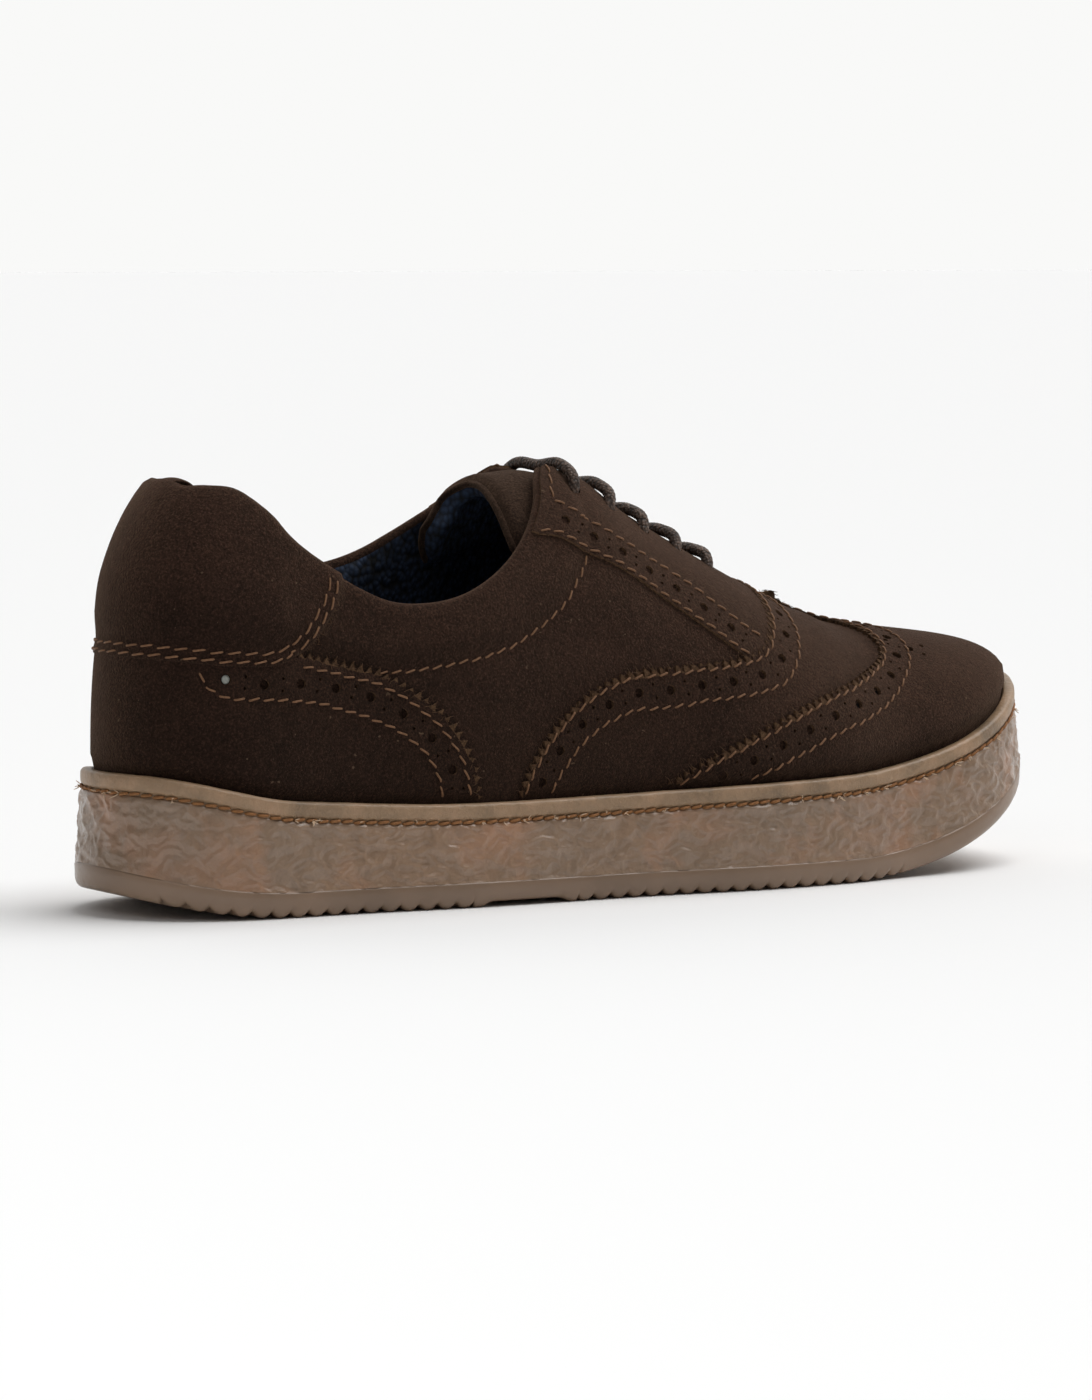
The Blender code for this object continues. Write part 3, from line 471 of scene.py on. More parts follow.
def distance_to(points, line):
    best = np.full(len(points), np.inf)
    for a, b in zip(line[:-1], line[1:]):
        ab = b - a
        t = np.clip(((points - a) @ ab) / max(ab @ ab, 1e-18), 0, 1)
        best = np.minimum(best, np.linalg.norm(points - a - t[:, None] * ab, axis=1))
    return best


# Panels of the upper, each a region of the flat pattern that stands proud of the quarter.

OUTSIDE = 60.0 * MM
LIP_REVEAL = 0.4 * MM
FADE = 4.0 * MM


def both_sides(table):
    """An edge that runs from the lateral lip over the middle to the medial lip."""
    lateral = drawn(table, -1)
    medial = drawn(table, 1)
    return np.concatenate([lateral, medial[::-1][1:]])


def lip_loop(low, high, count=60):
    """The pattern far outside the lip, around from one place to another."""
    around = np.linspace(low, high, count)
    return to_flat(around, np.full(count, -OUTSIDE))


def toe_panel(table):
    edge = both_sides(table)
    lateral = lip_loop(table[0][0], 1.0)
    medial = lip_loop(-1.0, -table[0][0])
    return edge, np.concatenate([lateral[::-1], edge, medial[::-1]])[::-1]


def heel_panel(table):
    edge = both_sides(table)
    lateral = lip_loop(0.0, table[0][0])
    medial = lip_loop(-table[0][0], -1e-6)
    return edge, np.concatenate([edge, medial, lateral])


def collar_patch(table):
    edge = both_sides(table)
    return edge, np.concatenate([edge, [[HEEL_X, centre_line(HEEL_X)]]])


def eyestay_panel(table, side):
    edge = drawn(table, side)
    middle = centre_line(np.array([edge[-1, 0], edge[0, 0]]))
    return edge, np.concatenate([edge, np.stack([[edge[-1, 0], edge[0, 0]], middle], axis=1)])


# The upper


def throat_half(around):
    share = (around - EYESTAY_CORNER) / (THROAT_END - EYESTAY_CORNER)
    return THROAT_HALF_TOP + (THROAT_HALF_END - THROAT_HALF_TOP) * np.clip(share, 0, 1)


def top_edge():
    """The collar and throat as a loop of the flat pattern, from the lateral heel round to the medial."""
    halves = []
    for side, rise_column in ((-1, 1), (1, 2)):
        table = [(row[0], row[rise_column]) for row in TOPLINE]
        collar = drawn(table, side)
        around = -side * np.linspace(EYESTAY_CORNER, THROAT_END - 0.010, 40)
        facing = to_flat(around, rib_length(around) - throat_half(np.abs(around)))
        halves.append(np.concatenate([collar, facing]))
    lateral, medial = halves
    end = np.array([around_x(THROAT_END), 0.0])
    end[1] = centre_line(end[0])
    turn = np.linspace(-1, 1, 9)[1:-1] * math.pi / 2
    wide = throat_half(np.array([THROAT_END]))[0]
    start_x = lateral[-1, 0]
    bend = np.stack([start_x + (end[0] - start_x) * np.cos(turn), end[1] + wide * np.sin(turn)], axis=1)
    return np.concatenate([lateral, bend, medial[::-1][:-1]])


def around_x(around):
    return plan([around], FOOT_INSET)[0, 0]


def eyelet_places(side):
    """The middle of each eyelet on one facing, in the flat pattern."""
    first = EYESTAY_CORNER + 0.021
    last = THROAT_END - 0.023
    around = -side * np.linspace(first, last, EYELETS)
    drop = throat_half(np.abs(around)) + EYELET_INSET
    return to_flat(around, rib_length(around) - drop)


def ring(centre, diameter, count=8):
    turn = np.linspace(0, 2 * math.pi, count, endpoint=False)
    return centre + diameter / 2 * np.stack([np.cos(turn), np.sin(turn)], axis=1)


def wall_thickness(points, edge):
    """The wall's thickness: one layer, and padding under the collar behind the eyestay."""
    around, _ = from_flat(points)
    away = distance_to(points, np.concatenate([edge, edge[:1]]))
    padded = 1 - ease((np.abs(around) - 0.30) / 0.09)
    bulge = np.sin(np.clip(away / COLLAR_PAD_REACH, 0, 1) ** 0.6 * math.pi)
    return WALL + COLLAR_PAD * padded * np.clip(0.35 * (away < COLLAR_PAD_REACH / 3) + bulge, 0, 1)


def triangulate(loops, creases, extra):
    """Triangles of the flat pattern between its outer loop and its inner loops."""
    points = []
    links = []
    for loop, closed in [(loop, True) for loop in loops] + [(line, False) for line in creases]:
        start = len(points)
        points.extend(loop)
        links += [(start + i, start + i + 1) for i in range(len(loop) - 1)]
        if closed:
            links.append((start + len(loop) - 1, start))
    rim = sum(len(loop) for loop in loops)
    points.extend(extra)
    scale = 1 / MM
    scaled = [(float(p[0]) * scale, float(p[1]) * scale) for p in points]
    verts, _, faces, origins, _, _ = delaunay_2d_cdt(scaled, links, [], 0, 1e-5, True)
    found = np.array([(v[0], v[1]) for v in verts]) / scale
    place = {}
    for index, sources in enumerate(origins):
        for source in sources:
            place[source] = index
    faces = np.array([list(face) for face in faces])
    middle = found[faces].mean(axis=1)
    keep = inside_of(middle, loops[0])
    for loop in loops[1:]:
        keep &= ~inside_of(middle, loop)
    faces = faces[keep]
    order = [place[i] for i in range(rim)]
    return found, faces, order


def closed_line(loop):
    return np.concatenate([loop, loop[:1]])


def short_of(line, loop, clear):
    """The line without the ends that come too near a loop."""
    return line[distance_to(line, closed_line(loop)) > clear]


def rolled_edge(outer, inner, loop):
    """Rows that round the collar over from its outer edge to its inner edge."""
    ahead = np.roll(loop, -1, axis=0) - np.roll(loop, 1, axis=0)
    square = np.stack([-ahead[:, 1], ahead[:, 0]], axis=1)
    square /= np.linalg.norm(square, axis=1)[:, None]
    probe = loop + square * 0.2 * MM
    away = 1 if inside_of(probe, loop).mean() > 0.5 else -1
    over = lift(loop + away * square * MM, 0) - lift(loop, 0)
    over /= np.linalg.norm(over, axis=1)[:, None]
    middle = (outer + inner) / 2
    half = (outer - inner) / 2
    size = np.linalg.norm(half, axis=1)[:, None]
    rows = []
    for turn in (0.2, 0.5, 0.8):
        angle = turn * math.pi
        rows.append(middle + half * math.cos(angle) + over * size * math.sin(angle) * 0.8)
    return rows


def band_top(x):
    return bottom_height(x) + OUTSOLE_THICKNESS + CLEARANCE


# Placing things in the row frame

SHIFT = np.array([-LENGTH / 2, -(max(PLANS[1][:, 1]) + min(PLANS[-1][:, 1])) / 2, 0.0])
BODY = "root"


def mesh_piece(name, points, faces, finish, smooth=True):
    """A mesh object of the shoe, moved into the row frame and riding on its one body."""
    mesh = bpy.data.meshes.new(name)
    rows = (np.asarray(points, float) + SHIFT).tolist()
    mesh.from_pydata(rows, [], [tuple(int(i) for i in face) for face in faces])
    mesh.validate()
    if smooth:
        mesh.shade_smooth()
    mesh.materials.append(finish)
    piece = bpy.data.objects.new(name, mesh)
    bpy.context.scene.collection.objects.link(piece)
    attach(piece, BODY)
    return piece


def grid_faces(rows, columns, closed=False):
    """Quads between rows of points, each row as long as columns."""
    faces = []
    last = columns if closed else columns - 1
    for r in range(rows - 1):
        for c in range(last):
            d = (c + 1) % columns
            faces.append((r * columns + c, r * columns + d, (r + 1) * columns + d, (r + 1) * columns + c))
    return faces


# Materials


class Nodes:
    """A material's node tree, built with short calls."""

    def __init__(self, name, colour, roughness):
        self.material = bpy.data.materials.new(name)
        self.material.use_nodes = True
        self.tree = self.material.node_tree
        self.shader = self.tree.nodes["Principled BSDF"]
        self.shader.inputs["Base Color"].default_value = (*colour, 1)
        self.shader.inputs["Roughness"].default_value = roughness
        self.place = self.tree.nodes.new("ShaderNodeTexCoord").outputs["Object"]

    def link(self, source, target):
        self.tree.links.new(source, target)

    def feed(self, socket, value):
        """Puts a number or a colour on a socket, or links an output into it."""
        if isinstance(value, (int, float)):
            socket.default_value = value
        elif isinstance(value, tuple):
            socket.default_value = (*value, 1)
        else:
            self.link(value, socket)

    def noise(self, scale, detail=3.0, rough=0.55, distort=0.0, place=None):
        node = self.tree.nodes.new("ShaderNodeTexNoise")
        node.inputs["Scale"].default_value = scale
        node.inputs["Detail"].default_value = detail
        node.inputs["Roughness"].default_value = rough
        node.inputs["Distortion"].default_value = distort
        self.link(place or self.place, node.inputs["Vector"])
        return node.outputs["Fac"]

    def cells(self, scale, feature="F1", place=None):
        node = self.tree.nodes.new("ShaderNodeTexVoronoi")
        node.feature = feature
        node.inputs["Scale"].default_value = scale
        self.link(place or self.place, node.inputs["Vector"])
        return node.outputs["Distance"]

    def stretched(self, x, y, z):
        node = self.tree.nodes.new("ShaderNodeMapping")
        node.inputs["Scale"].default_value = (x, y, z)
        self.link(self.place, node.inputs["Vector"])
        return node.outputs["Vector"]

    def ramp(self, source, stops):
        node = self.tree.nodes.new("ShaderNodeValToRGB")
        ramp = node.color_ramp
        while len(ramp.elements) < len(stops):
            ramp.elements.new(0.5)
        for element, (at, colour) in zip(ramp.elements, stops):
            element.position = at
            element.color = (*colour, 1)
        self.link(source, node.inputs["Fac"])
        return node.outputs["Color"]

    def grey(self, source, *stops):
        """A ramp of plain levels: each stop is a place and a level."""
        return self.ramp(source, [(at, (level,) * 3) for at, level in stops])

    def mix(self, factor, first, second, blend="MIX"):
        node = self.tree.nodes.new("ShaderNodeMix")
        node.data_type = "RGBA"
        node.blend_type = blend
        for socket, value in ((node.inputs[0], factor), (node.inputs[6], first), (node.inputs[7], second)):
            self.feed(socket, value)
        return node.outputs[2]

    def bump(self, height, distance, strength=1.0, after=None):
        node = self.tree.nodes.new("ShaderNodeBump")
        node.inputs["Strength"].default_value = strength
        node.inputs["Distance"].default_value = distance
        self.link(height, node.inputs["Height"])
        if after is not None:
            self.link(after, node.inputs["Normal"])
        return node.outputs["Normal"]

    def set(self, **sockets):
        for name, value in sockets.items():
            self.feed(self.shader.inputs[name.replace("_", " ").title().replace("Ior", "IOR")], value)
        return self.material


def suede(name, dark, light):
    """Napped leather: fine fibre, soft brushed patches, a velvet edge, and painted shade that darkens faces
    turned away from straight up.
    """
    n = Nodes(name, dark, 0.95)
    brushed = n.noise(34, 4.0, 0.62, 0.6)
    clumps = n.noise(240, 4.0, 0.72, 0.3)
    fibre = n.noise(1500, 3.0, 0.8, 0.0)
    speck = n.noise(620, 1.0, 0.5, 0.0)
    tone = n.mix(n.grey(brushed, (0.34, 0.0), (0.68, 0.75)), dark, light)
    tone = n.mix(n.grey(clumps, (0.36, 0.0), (0.66, 0.55)), tone, light)
    tone = n.mix(n.grey(fibre, (0.52, 0.0), (0.66, 0.75)), tone, tuple(2.1 * c for c in light))
    tone = n.mix(n.grey(fibre, (0.36, 0.7), (0.50, 0.0)), tone, tuple(0.25 * c for c in dark))
    # Painted shade: faces turned sideways or down are darkened to about half; faces turned up keep their
    # colour.
    upward = n.tree.nodes.new("ShaderNodeSeparateXYZ")
    n.link(n.tree.nodes.new("ShaderNodeNewGeometry").outputs["Normal"], upward.inputs[0])
    painted_shade_by_facing = n.grey(upward.outputs["Z"], (0.0, 0.54), (0.30, 0.86), (0.75, 1.0))
    tone = n.mix(1.0, tone, painted_shade_by_facing, "MULTIPLY")
    lint = n.grey(speck, (0.765, 0.0), (0.79, 0.6))
    tone = n.mix(lint, tone, (0.13, 0.085, 0.055))
    rough = n.bump(fibre, 0.0006, 0.9)
    nap = n.bump(clumps, 0.0005, 0.7, rough)
    n.set(sheen_weight=0.42, sheen_roughness=0.5, sheen_tint=(0.42, 0.27, 0.18), specular_ior_level=0.08)
    return n.set(base_color=tone, normal=nap)


def raw_edge():
    """The cut edge of the suede: paler and rougher than its face."""
    n = Nodes("suede_cut_edge", (0.06, 0.036, 0.022), 0.95)
    fibre = n.noise(1500, 4.0, 0.8)
    tone = n.mix(n.grey(fibre, (0.3, 0.0), (0.7, 1.0)), (0.022, 0.012, 0.007), (0.155, 0.088, 0.048))
    n.set(specular_ior_level=0.1)
    return n.set(base_color=tone, normal=n.bump(fibre, 0.0004, 0.9))


def thread(name, dark, light):
    n = Nodes(name, light, 0.6)
    twist = n.noise(1400, 2.0, 0.5)
    n.set(specular_ior_level=0.15)
    return n.set(base_color=n.mix(twist, dark, light), normal=n.bump(twist, 0.0002, 0.6))


def knit():
    """The lining: a small round-meshed knit."""
    n = Nodes("navy_knit_mesh", (0.02, 0.035, 0.07), 0.85)
    mesh = n.cells(620, place=n.stretched(1.0, 1.0, 0.75))
    shade = n.ramp(mesh, ((0.12, (0.026, 0.046, 0.092)), (0.55, (0.008, 0.015, 0.032)), (0.8, (0.001,) * 3)))
    return n.set(base_color=shade, normal=n.bump(mesh, -0.0006, 0.9))


def lace_cloth():
    """A waxed round braid."""
    n = Nodes("waxed_braid", (0.10, 0.075, 0.06), 0.5)
    braid = n.cells(1100)
    patch = n.noise(260, 3.0, 0.6)
    tone = n.mix(n.grey(patch, (0.3, 0.0), (0.7, 1.0)), (0.055, 0.034, 0.025), (0.21, 0.140, 0.105))
    # Painted shade: the recessed gaps between the braid's strands are darkened nearly to black.
    tone = n.mix(n.grey(braid, (0.25, 0.0), (0.75, 0.85)), tone, (0.014, 0.010, 0.008))
    n.set(specular_ior_level=0.25)
    return n.set(base_color=tone, normal=n.bump(braid, -0.0006, 0.9))


def crepe():
    """Wrinkled translucent rubber, with warmer patches."""
    n = Nodes("crepe_rubber", (0.20, 0.14, 0.095), 0.42)
    worm = n.noise(250, 2.0, 0.5, 0.25, n.stretched(1.0, 1.0, 1.2))
    fine = n.noise(1100, 3.0, 0.6, 0.6)
    patch = n.noise(20, 3.0, 0.55, 0.7)
    warm = n.noise(34, 3.0, 0.6, 0.5)
    tone = n.ramp(worm, ((0.34, (0.245, 0.152, 0.090)), (0.62, (0.31, 0.198, 0.124))))
    tone = n.mix(n.grey(patch, (0.40, 0.0), (0.66, 0.75)), tone, (0.235, 0.165, 0.112))
    tone = n.mix(n.grey(warm, (0.50, 0.0), (0.70, 0.60)), tone, (0.43, 0.215, 0.118))
    gloss = n.grey(worm, (0.4, 0.48), (0.65, 0.28))
    normal = n.bump(worm, 0.0009, 0.7)
    n.set(coat_weight=0.45, coat_roughness=0.16)
    return n.set(base_color=tone, roughness=gloss, normal=n.bump(fine, 0.0003, 0.7, normal))


def lip_rubber():
    """The paler rolled lip over the stitch."""
    n = Nodes("lip_rubber", (0.36, 0.235, 0.13), 0.5)
    mottle = n.noise(70, 4.0, 0.6, 0.6)
    grain = n.noise(800, 3.0, 0.7, 0.5)
    stops = ((0.32, (0.20, 0.130, 0.072)), (0.5, (0.30, 0.190, 0.105)), (0.7, (0.40, 0.245, 0.140)))
    tone = n.ramp(mottle, stops)
    tone = n.mix(n.grey(grain, (0.5, 0.0), (0.8, 0.4)), tone, (0.46, 0.31, 0.185))
    worn = n.bump(n.noise(230, 3.0, 0.6, 0.5), 0.0008, 0.7)
    n.set(coat_weight=0.2, coat_roughness=0.3)
    return n.set(base_color=tone, normal=n.bump(grain, 0.0005, 0.8, worn))


def band_rubber():
    """The smooth outsole band and tread."""
    n = Nodes("smooth_rubber", (0.185, 0.14, 0.105), 0.34)
    mottle = n.noise(30, 3.0, 0.5, 0.3)
    tone = n.ramp(mottle, ((0.35, (0.205, 0.135, 0.088)), (0.7, (0.275, 0.180, 0.118))))
    grime = n.noise(500, 3.0, 0.6)
    rough = n.grey(grime, (0.4, 0.3), (0.7, 0.45))
    n.set(coat_weight=0.1)
    return n.set(base_color=tone, roughness=rough, normal=n.bump(grime, 0.00008, 0.5))


def footbed():
    n = Nodes("footbed_cloth", (0.012, 0.014, 0.022), 0.95)
    weave = n.cells(900)
    tone = n.mix(weave, (0.02, 0.024, 0.036), (0.006, 0.007, 0.010))
    return n.set(base_color=tone, normal=n.bump(weave, -0.0003))


# The upper's sheets


def true_run(line):
    """Distance along a row of the pattern as measured on the last itself."""
    return np.r_[0, np.cumsum(np.linalg.norm(np.diff(lift(line, 0), axis=0), axis=1))]


def true_ring(place, size, count):
    """A hole's outline in the pattern that comes out round on the last."""
    step = 0.5 * MM
    around = np.array([place, place + (step, 0), place + (0, step)])
    at = lift(around, 0)
    slopes = np.stack([at[1] - at[0], at[2] - at[0]], axis=1) / step
    values, vectors = np.linalg.eigh(slopes.T @ slopes)
    back = vectors @ np.diag(1 / np.sqrt(np.clip(values, 0.15, 4))) @ vectors.T
    turn = np.linspace(0, 2 * math.pi, count, endpoint=False)
    circle = np.stack([np.cos(turn), np.sin(turn)], axis=1) * size / 2
    return place + circle @ back


def pinked(line, pitch, depth):
    """The line with saw teeth cut along it, each tooth standing to its left."""
    run = true_run(line)
    teeth = max(2, int(round(run[-1] / pitch)))
    at = np.linspace(0, run[-1], 4 * teeth + 1)
    points = np.stack([np.interp(at, run, line[:, k]) for k in (0, 1)], axis=1)
    along = np.gradient(points, axis=0)
    along /= np.linalg.norm(along, axis=1)[:, None]
    square = np.stack([-along[:, 1], along[:, 0]], axis=1)
    phase = np.arange(len(at)) % 4
    high = np.where(phase == 2, 1.0, np.where(phase == 0, 0.0, 0.35))
    uneven = np.sin(np.arange(len(at)) * 1.7) * 0.12 + np.sin(np.arange(len(at)) * 0.61) * 0.1
    return points + square * (depth * (high * (1 + uneven)))[:, None]


def fine_grid(loops, gap, clear):
    """A staggered grid of points inside the first loop and outside the others."""
    low = loops[0].min(axis=0)
    high = loops[0].max(axis=0)
    xs = np.arange(low[0], high[0], gap)
    ys = np.arange(low[1], high[1], gap * 0.87)
    grid = np.array([(x + (gap / 2 if row % 2 else 0), y) for row, y in enumerate(ys) for x in xs])
    keep = inside_of(grid, loops[0])
    grid = grid[keep]
    grid = grid[distance_to(grid, closed_line(loops[0])) > clear]
    for loop in loops[1:]:
        middle = loop.mean(axis=0)
        reach = np.linalg.norm(loop - middle, axis=1).max() + clear
        near = np.linalg.norm(grid - middle, axis=1) < reach
        if len(loop) < 16:
            grid = grid[~near]
        else:
            drop = near & (inside_of(grid, loop) | (distance_to(grid, closed_line(loop)) < clear))
            grid = grid[~drop]
    return grid


def crease_field(points):
    """Soft creases of the worn-in upper: troughs below zero, ridges above."""
    _, up = from_flat(points)
    field = np.zeros(len(points))
    for a, b, width, depth in CREASES:
        start = to_flat([a[0]], a[1] * rib_length([a[0]]))[0]
        end = to_flat([b[0]], b[1] * rib_length([b[0]]))[0]
        ab = end - start
        t = np.clip(((points - start) @ ab) / (ab @ ab), 0, 1)
        away = np.linalg.norm(points - start - t[:, None] * ab, axis=1)
        ends = np.sin(np.clip(t, 0.02, 0.98) * math.pi) ** 0.5
        field += depth * ends * np.exp(-((away / width) ** 2))
    return field * ease((up - 1 * MM) / (6 * MM))


# Soft troughs and ridges: two ends as around and rise, width and height.
CREASES = (
    # end, other end, width, height
    ((0.560, 0.16), (0.625, 0.30), 4.0 * MM, -0.45 * MM),
    ((0.600, 0.14), (0.665, 0.26), 4.5 * MM, 0.35 * MM),
    ((0.655, 0.50), (0.690, 0.98), 5.0 * MM, -0.45 * MM),
    ((-0.655, 0.50), (-0.690, 0.98), 5.0 * MM, -0.45 * MM),
    ((0.690, 0.45), (0.715, 0.95), 4.0 * MM, 0.30 * MM),
    ((-0.690, 0.45), (-0.715, 0.95), 4.0 * MM, 0.30 * MM),
    ((0.260, 0.20), (0.340, 0.34), 6.0 * MM, -0.50 * MM),
    ((0.385, 0.36), (0.470, 0.42), 7.0 * MM, -0.55 * MM),
    ((-0.385, 0.36), (-0.470, 0.42), 7.0 * MM, -0.55 * MM),
    ((0.060, 0.12), (0.180, 0.20), 7.0 * MM, -0.45 * MM),
    ((0.110, 0.48), (0.200, 0.60), 7.0 * MM, -0.40 * MM),
    ((0.300, 0.38), (0.400, 0.60), 6.0 * MM, 0.45 * MM),
)

SHEET = 1.1 * MM
EYESTAY_SHEET = 0.9 * MM
PATCH_SHEET = 1.5 * MM
PATCH_PILLOW = 1.2 * MM
ROW_IN = 1.9 * MM
ROW_HOLES = 5.6 * MM
ROW_FAR = 9.6 * MM


def near_lip(points):
    _, up = from_flat(points)
    return ease((up - LIP_REVEAL) / (FADE - LIP_REVEAL))


def region_mask(points, edge, region, ramp):
    inside = inside_of(points, region)
    return np.where(inside, ease(distance_to(points, edge) / ramp), 0)


REGIONS = {
    "wing": toe_panel(WING_EDGE),
    "vamp": toe_panel(VAMP_EDGE),
    "counter": heel_panel(COUNTER_EDGE),
    "patch": collar_patch(PATCH_EDGE),
    "eyestay_lateral": eyestay_panel(EYESTAY_EDGE, -1),
    "eyestay_medial": eyestay_panel(EYESTAY_EDGE, 1),
}


def base_height(points, patch=True):
    """The quarter's own surface, with the padded heel patch as part of it."""
    height = crease_field(points)
    swell = np.zeros(len(points))
    away = distance_to(points, COLLAR_LINE)
    inside = inside_of(points, COLLAR_REGION)
    swell = np.where(inside, np.clip(away / (7 * MM), 0, 1), 0)
    height = height + 0.8 * MM * ease(swell) - 0.35 * MM * np.exp(-((away / (1.6 * MM)) ** 2))
    if patch:
        edge, region = REGIONS["patch"]
        inside = inside_of(points, region)
        away = distance_to(points, edge)
        height += np.where(inside, PATCH_SHEET * np.clip(away / (0.7 * MM), 0, 1), 0)
        height += np.where(inside, PATCH_PILLOW * ease((away - 6 * MM) / (16 * MM)), 0)
    return height * near_lip(points)


def under_height(points, layer):
    """The surface that a sheet of this layer lies on."""
    height = base_height(points, patch=False)
    if layer in ("vamp", "wing"):
        for side in ("lateral", "medial"):
            edge, region = REGIONS["eyestay_" + side]
            mask = region_mask(points, edge, region, 5 * MM)
            height += EYESTAY_SHEET * mask * near_lip(points)
    if layer == "wing":
        height += SHEET * region_mask(points, *REGIONS["vamp"], 4 * MM) * near_lip(points)
    return height


def sheet_height(points, layer):
    thick = EYESTAY_SHEET if layer.startswith("eyestay") else SHEET
    height = under_height(points, layer) + thick * near_lip(points)
    if layer == "wing":
        middle = np.array([WING_TIP_X, centre_line(WING_TIP_X)])
        away = np.linalg.norm(points - middle, axis=1)
        height += TIP_LIFT * np.exp(-((away / (2.6 * MM)) ** 2))
    return height


def perforations(line):
    """Round holes along a row: one large, then a staggered pair of small ones."""
    run = true_run(line)
    count = max(2, int(round(run[-1] / HOLE_PITCH)))
    holes = []
    for k in range(2 * count):
        at = (k + 0.5) / (2 * count) * run[-1]
        place = np.array([np.interp(at, run, line[:, 0]), np.interp(at, run, line[:, 1])])
        ahead = np.array([np.interp(at + 1 * MM, run, line[:, 0]), np.interp(at + 1 * MM, run, line[:, 1])])
        ahead = (ahead - np.array([np.interp(at - MM, run, line[:, 0]), np.interp(at - MM, run, line[:, 1])]))
        ahead /= max(np.linalg.norm(ahead), 1e-9)
        square = np.array([-ahead[1], ahead[0]])
        if k % 2 == 0:
            holes.append((place, LARGE_HOLE, 12))
        else:
            holes.append((place + square * 1.6 * MM + ahead * 0.4 * MM, SMALL_HOLE, 7))
            holes.append((place - square * 1.6 * MM - ahead * 0.4 * MM, SMALL_HOLE, 7))
    return holes


HOLE_PITCH = 10.2 * MM
LARGE_HOLE = 2.8 * MM
SMALL_HOLE = 1.0 * MM


def offset_row(edge, region, distance):
    """A row inside the panel at this distance from its edge, trimmed where it would cross itself."""
    line = spaced(edge, 1.0 * MM)
    left = beside(line, 0.5 * MM)
    side = 1 if inside_of(left[2:-2], region).mean() > 0.5 else -1
    row = beside(line, side * distance)
    _, up = from_flat(row)
    keep = (distance_to(row, line) > 0.975 * distance) & (up > 0.8 * MM)
    row = row[keep]
    run = np.r_[0, np.linalg.norm(np.diff(row, axis=0), axis=1)]
    pieces = np.split(row, np.where(run > 12 * MM)[0])
    return [spaced(relaxed(piece), 0.8 * MM) for piece in pieces if len(piece) > 6]


def relaxed(line, rounds=6):
    line = line.copy()
    for _ in range(rounds):
        line[1:-1] = (line[:-2] + 2 * line[1:-1] + line[2:]) / 4
    return line


def sheet_piece(name, layer, outline, holes, faces_finish, gap=2.2 * MM, teeth=0):
    """A cut sheet lying on the upper: its face, its cut edge, the walls of its holes and a floor of painted
    shadow in each perforation.
    """
    rings = [true_ring(place, size, count) for place, size, count in holes]
    loops = [outline] + rings
    grid = fine_grid(loops, gap, 0.55 * gap)
    flat, faces, rim = triangulate(loops, [], grid)
    top = lift(flat, sheet_height(flat, layer))
    base = under_height(flat, layer) - 0.25 * MM
    points = [top]
    all_faces = [tuple(face) for face in oriented(faces, flat)]
    total = len(top)
    walls = []
    floors = []
    start = 0
    for loop in loops:
        row = np.array(rim[start : start + len(loop)])
        start += len(loop)
        points.append(lift(flat[row], base[row]))
        low = np.arange(total, total + len(loop))
        total += len(loop)
        for a, b, c, d in zip(row, np.roll(row, -1), np.roll(low, -1), low):
            walls.append((a, b, c, d))
        # Every perforation, though not an eyelet, is closed at its foot by a floor of painted shadow.
        if loop is not outline and len(loop) < 16:
            floors.append(tuple(low) if turned_left(loop) else tuple(low[::-1]))
    piece = mesh_piece(name, np.concatenate(points), all_faces + walls + floors, faces_finish)
    piece.data.materials.append(EDGE_FINISH)
    piece.data.materials.append(HOLE_DARK)
    toothed = set(int(i) for i in rim[:teeth])
    for polygon in piece.data.polygons:
        if polygon.index >= len(all_faces) + len(walls):
            polygon.material_index = 2
        elif polygon.index >= len(all_faces) or toothed.issuperset(polygon.vertices):
            polygon.material_index = 1
    piece.data.set_sharp_from_angle(angle=math.radians(45))
    return piece


def turned_left(loop):
    """Whether a loop of the pattern runs anticlockwise."""
    x, y = loop[:, 0], loop[:, 1]
    return (x * np.roll(y, -1) - np.roll(x, -1) * y).sum() > 0


def oriented(faces, flat):
    """Triangles turned to face out of the shoe: the pattern's y axis is the medial side."""
    a, b, c = flat[faces[:, 0]], flat[faces[:, 1]], flat[faces[:, 2]]
    turn = (b - a)[:, 0] * (c - a)[:, 1] - (b - a)[:, 1] * (c - a)[:, 0]
    return np.where((turn < 0)[:, None], faces[:, ::-1], faces)


# Stitches


class Threads:
    """All the stitches of one colour, gathered into one mesh."""

    def __init__(self):
        self.points = []
        self.faces = []
        self.count = 0

    def add(self, path, radius, sides=6):
        path = np.asarray(path)
        along = np.gradient(path, axis=0)
        along /= np.linalg.norm(along, axis=1)[:, None]
        first = np.cross(along[0], (0.31, 0.52, 0.79))
        for k, (point, ahead) in enumerate(zip(path, along)):
            first = first - ahead * (first @ ahead)
            first /= np.linalg.norm(first)
            second = np.cross(ahead, first)
            turn = np.linspace(0, 2 * math.pi, sides, endpoint=False)
            size = radius * (0.55 if k in (0, len(path) - 1) else 1.0)
            self.points.append(
                point + size * (np.cos(turn)[:, None] * first + np.sin(turn)[:, None] * second)
            )
        base = self.count
        for face in grid_faces(len(path), sides, closed=True):
            self.faces.append(tuple(base + i for i in face))
        self.faces.append(tuple(base + i for i in range(sides))[::-1])
        self.faces.append(tuple(base + (len(path) - 1) * sides + i for i in range(sides)))
        self.count += len(path) * sides

    def piece(self, name, finish, slot):
        return mesh_piece(name, np.concatenate(self.points), self.faces, finish)


STITCH_PITCH = 4.0 * MM
STITCH_RADIUS = 0.29 * MM


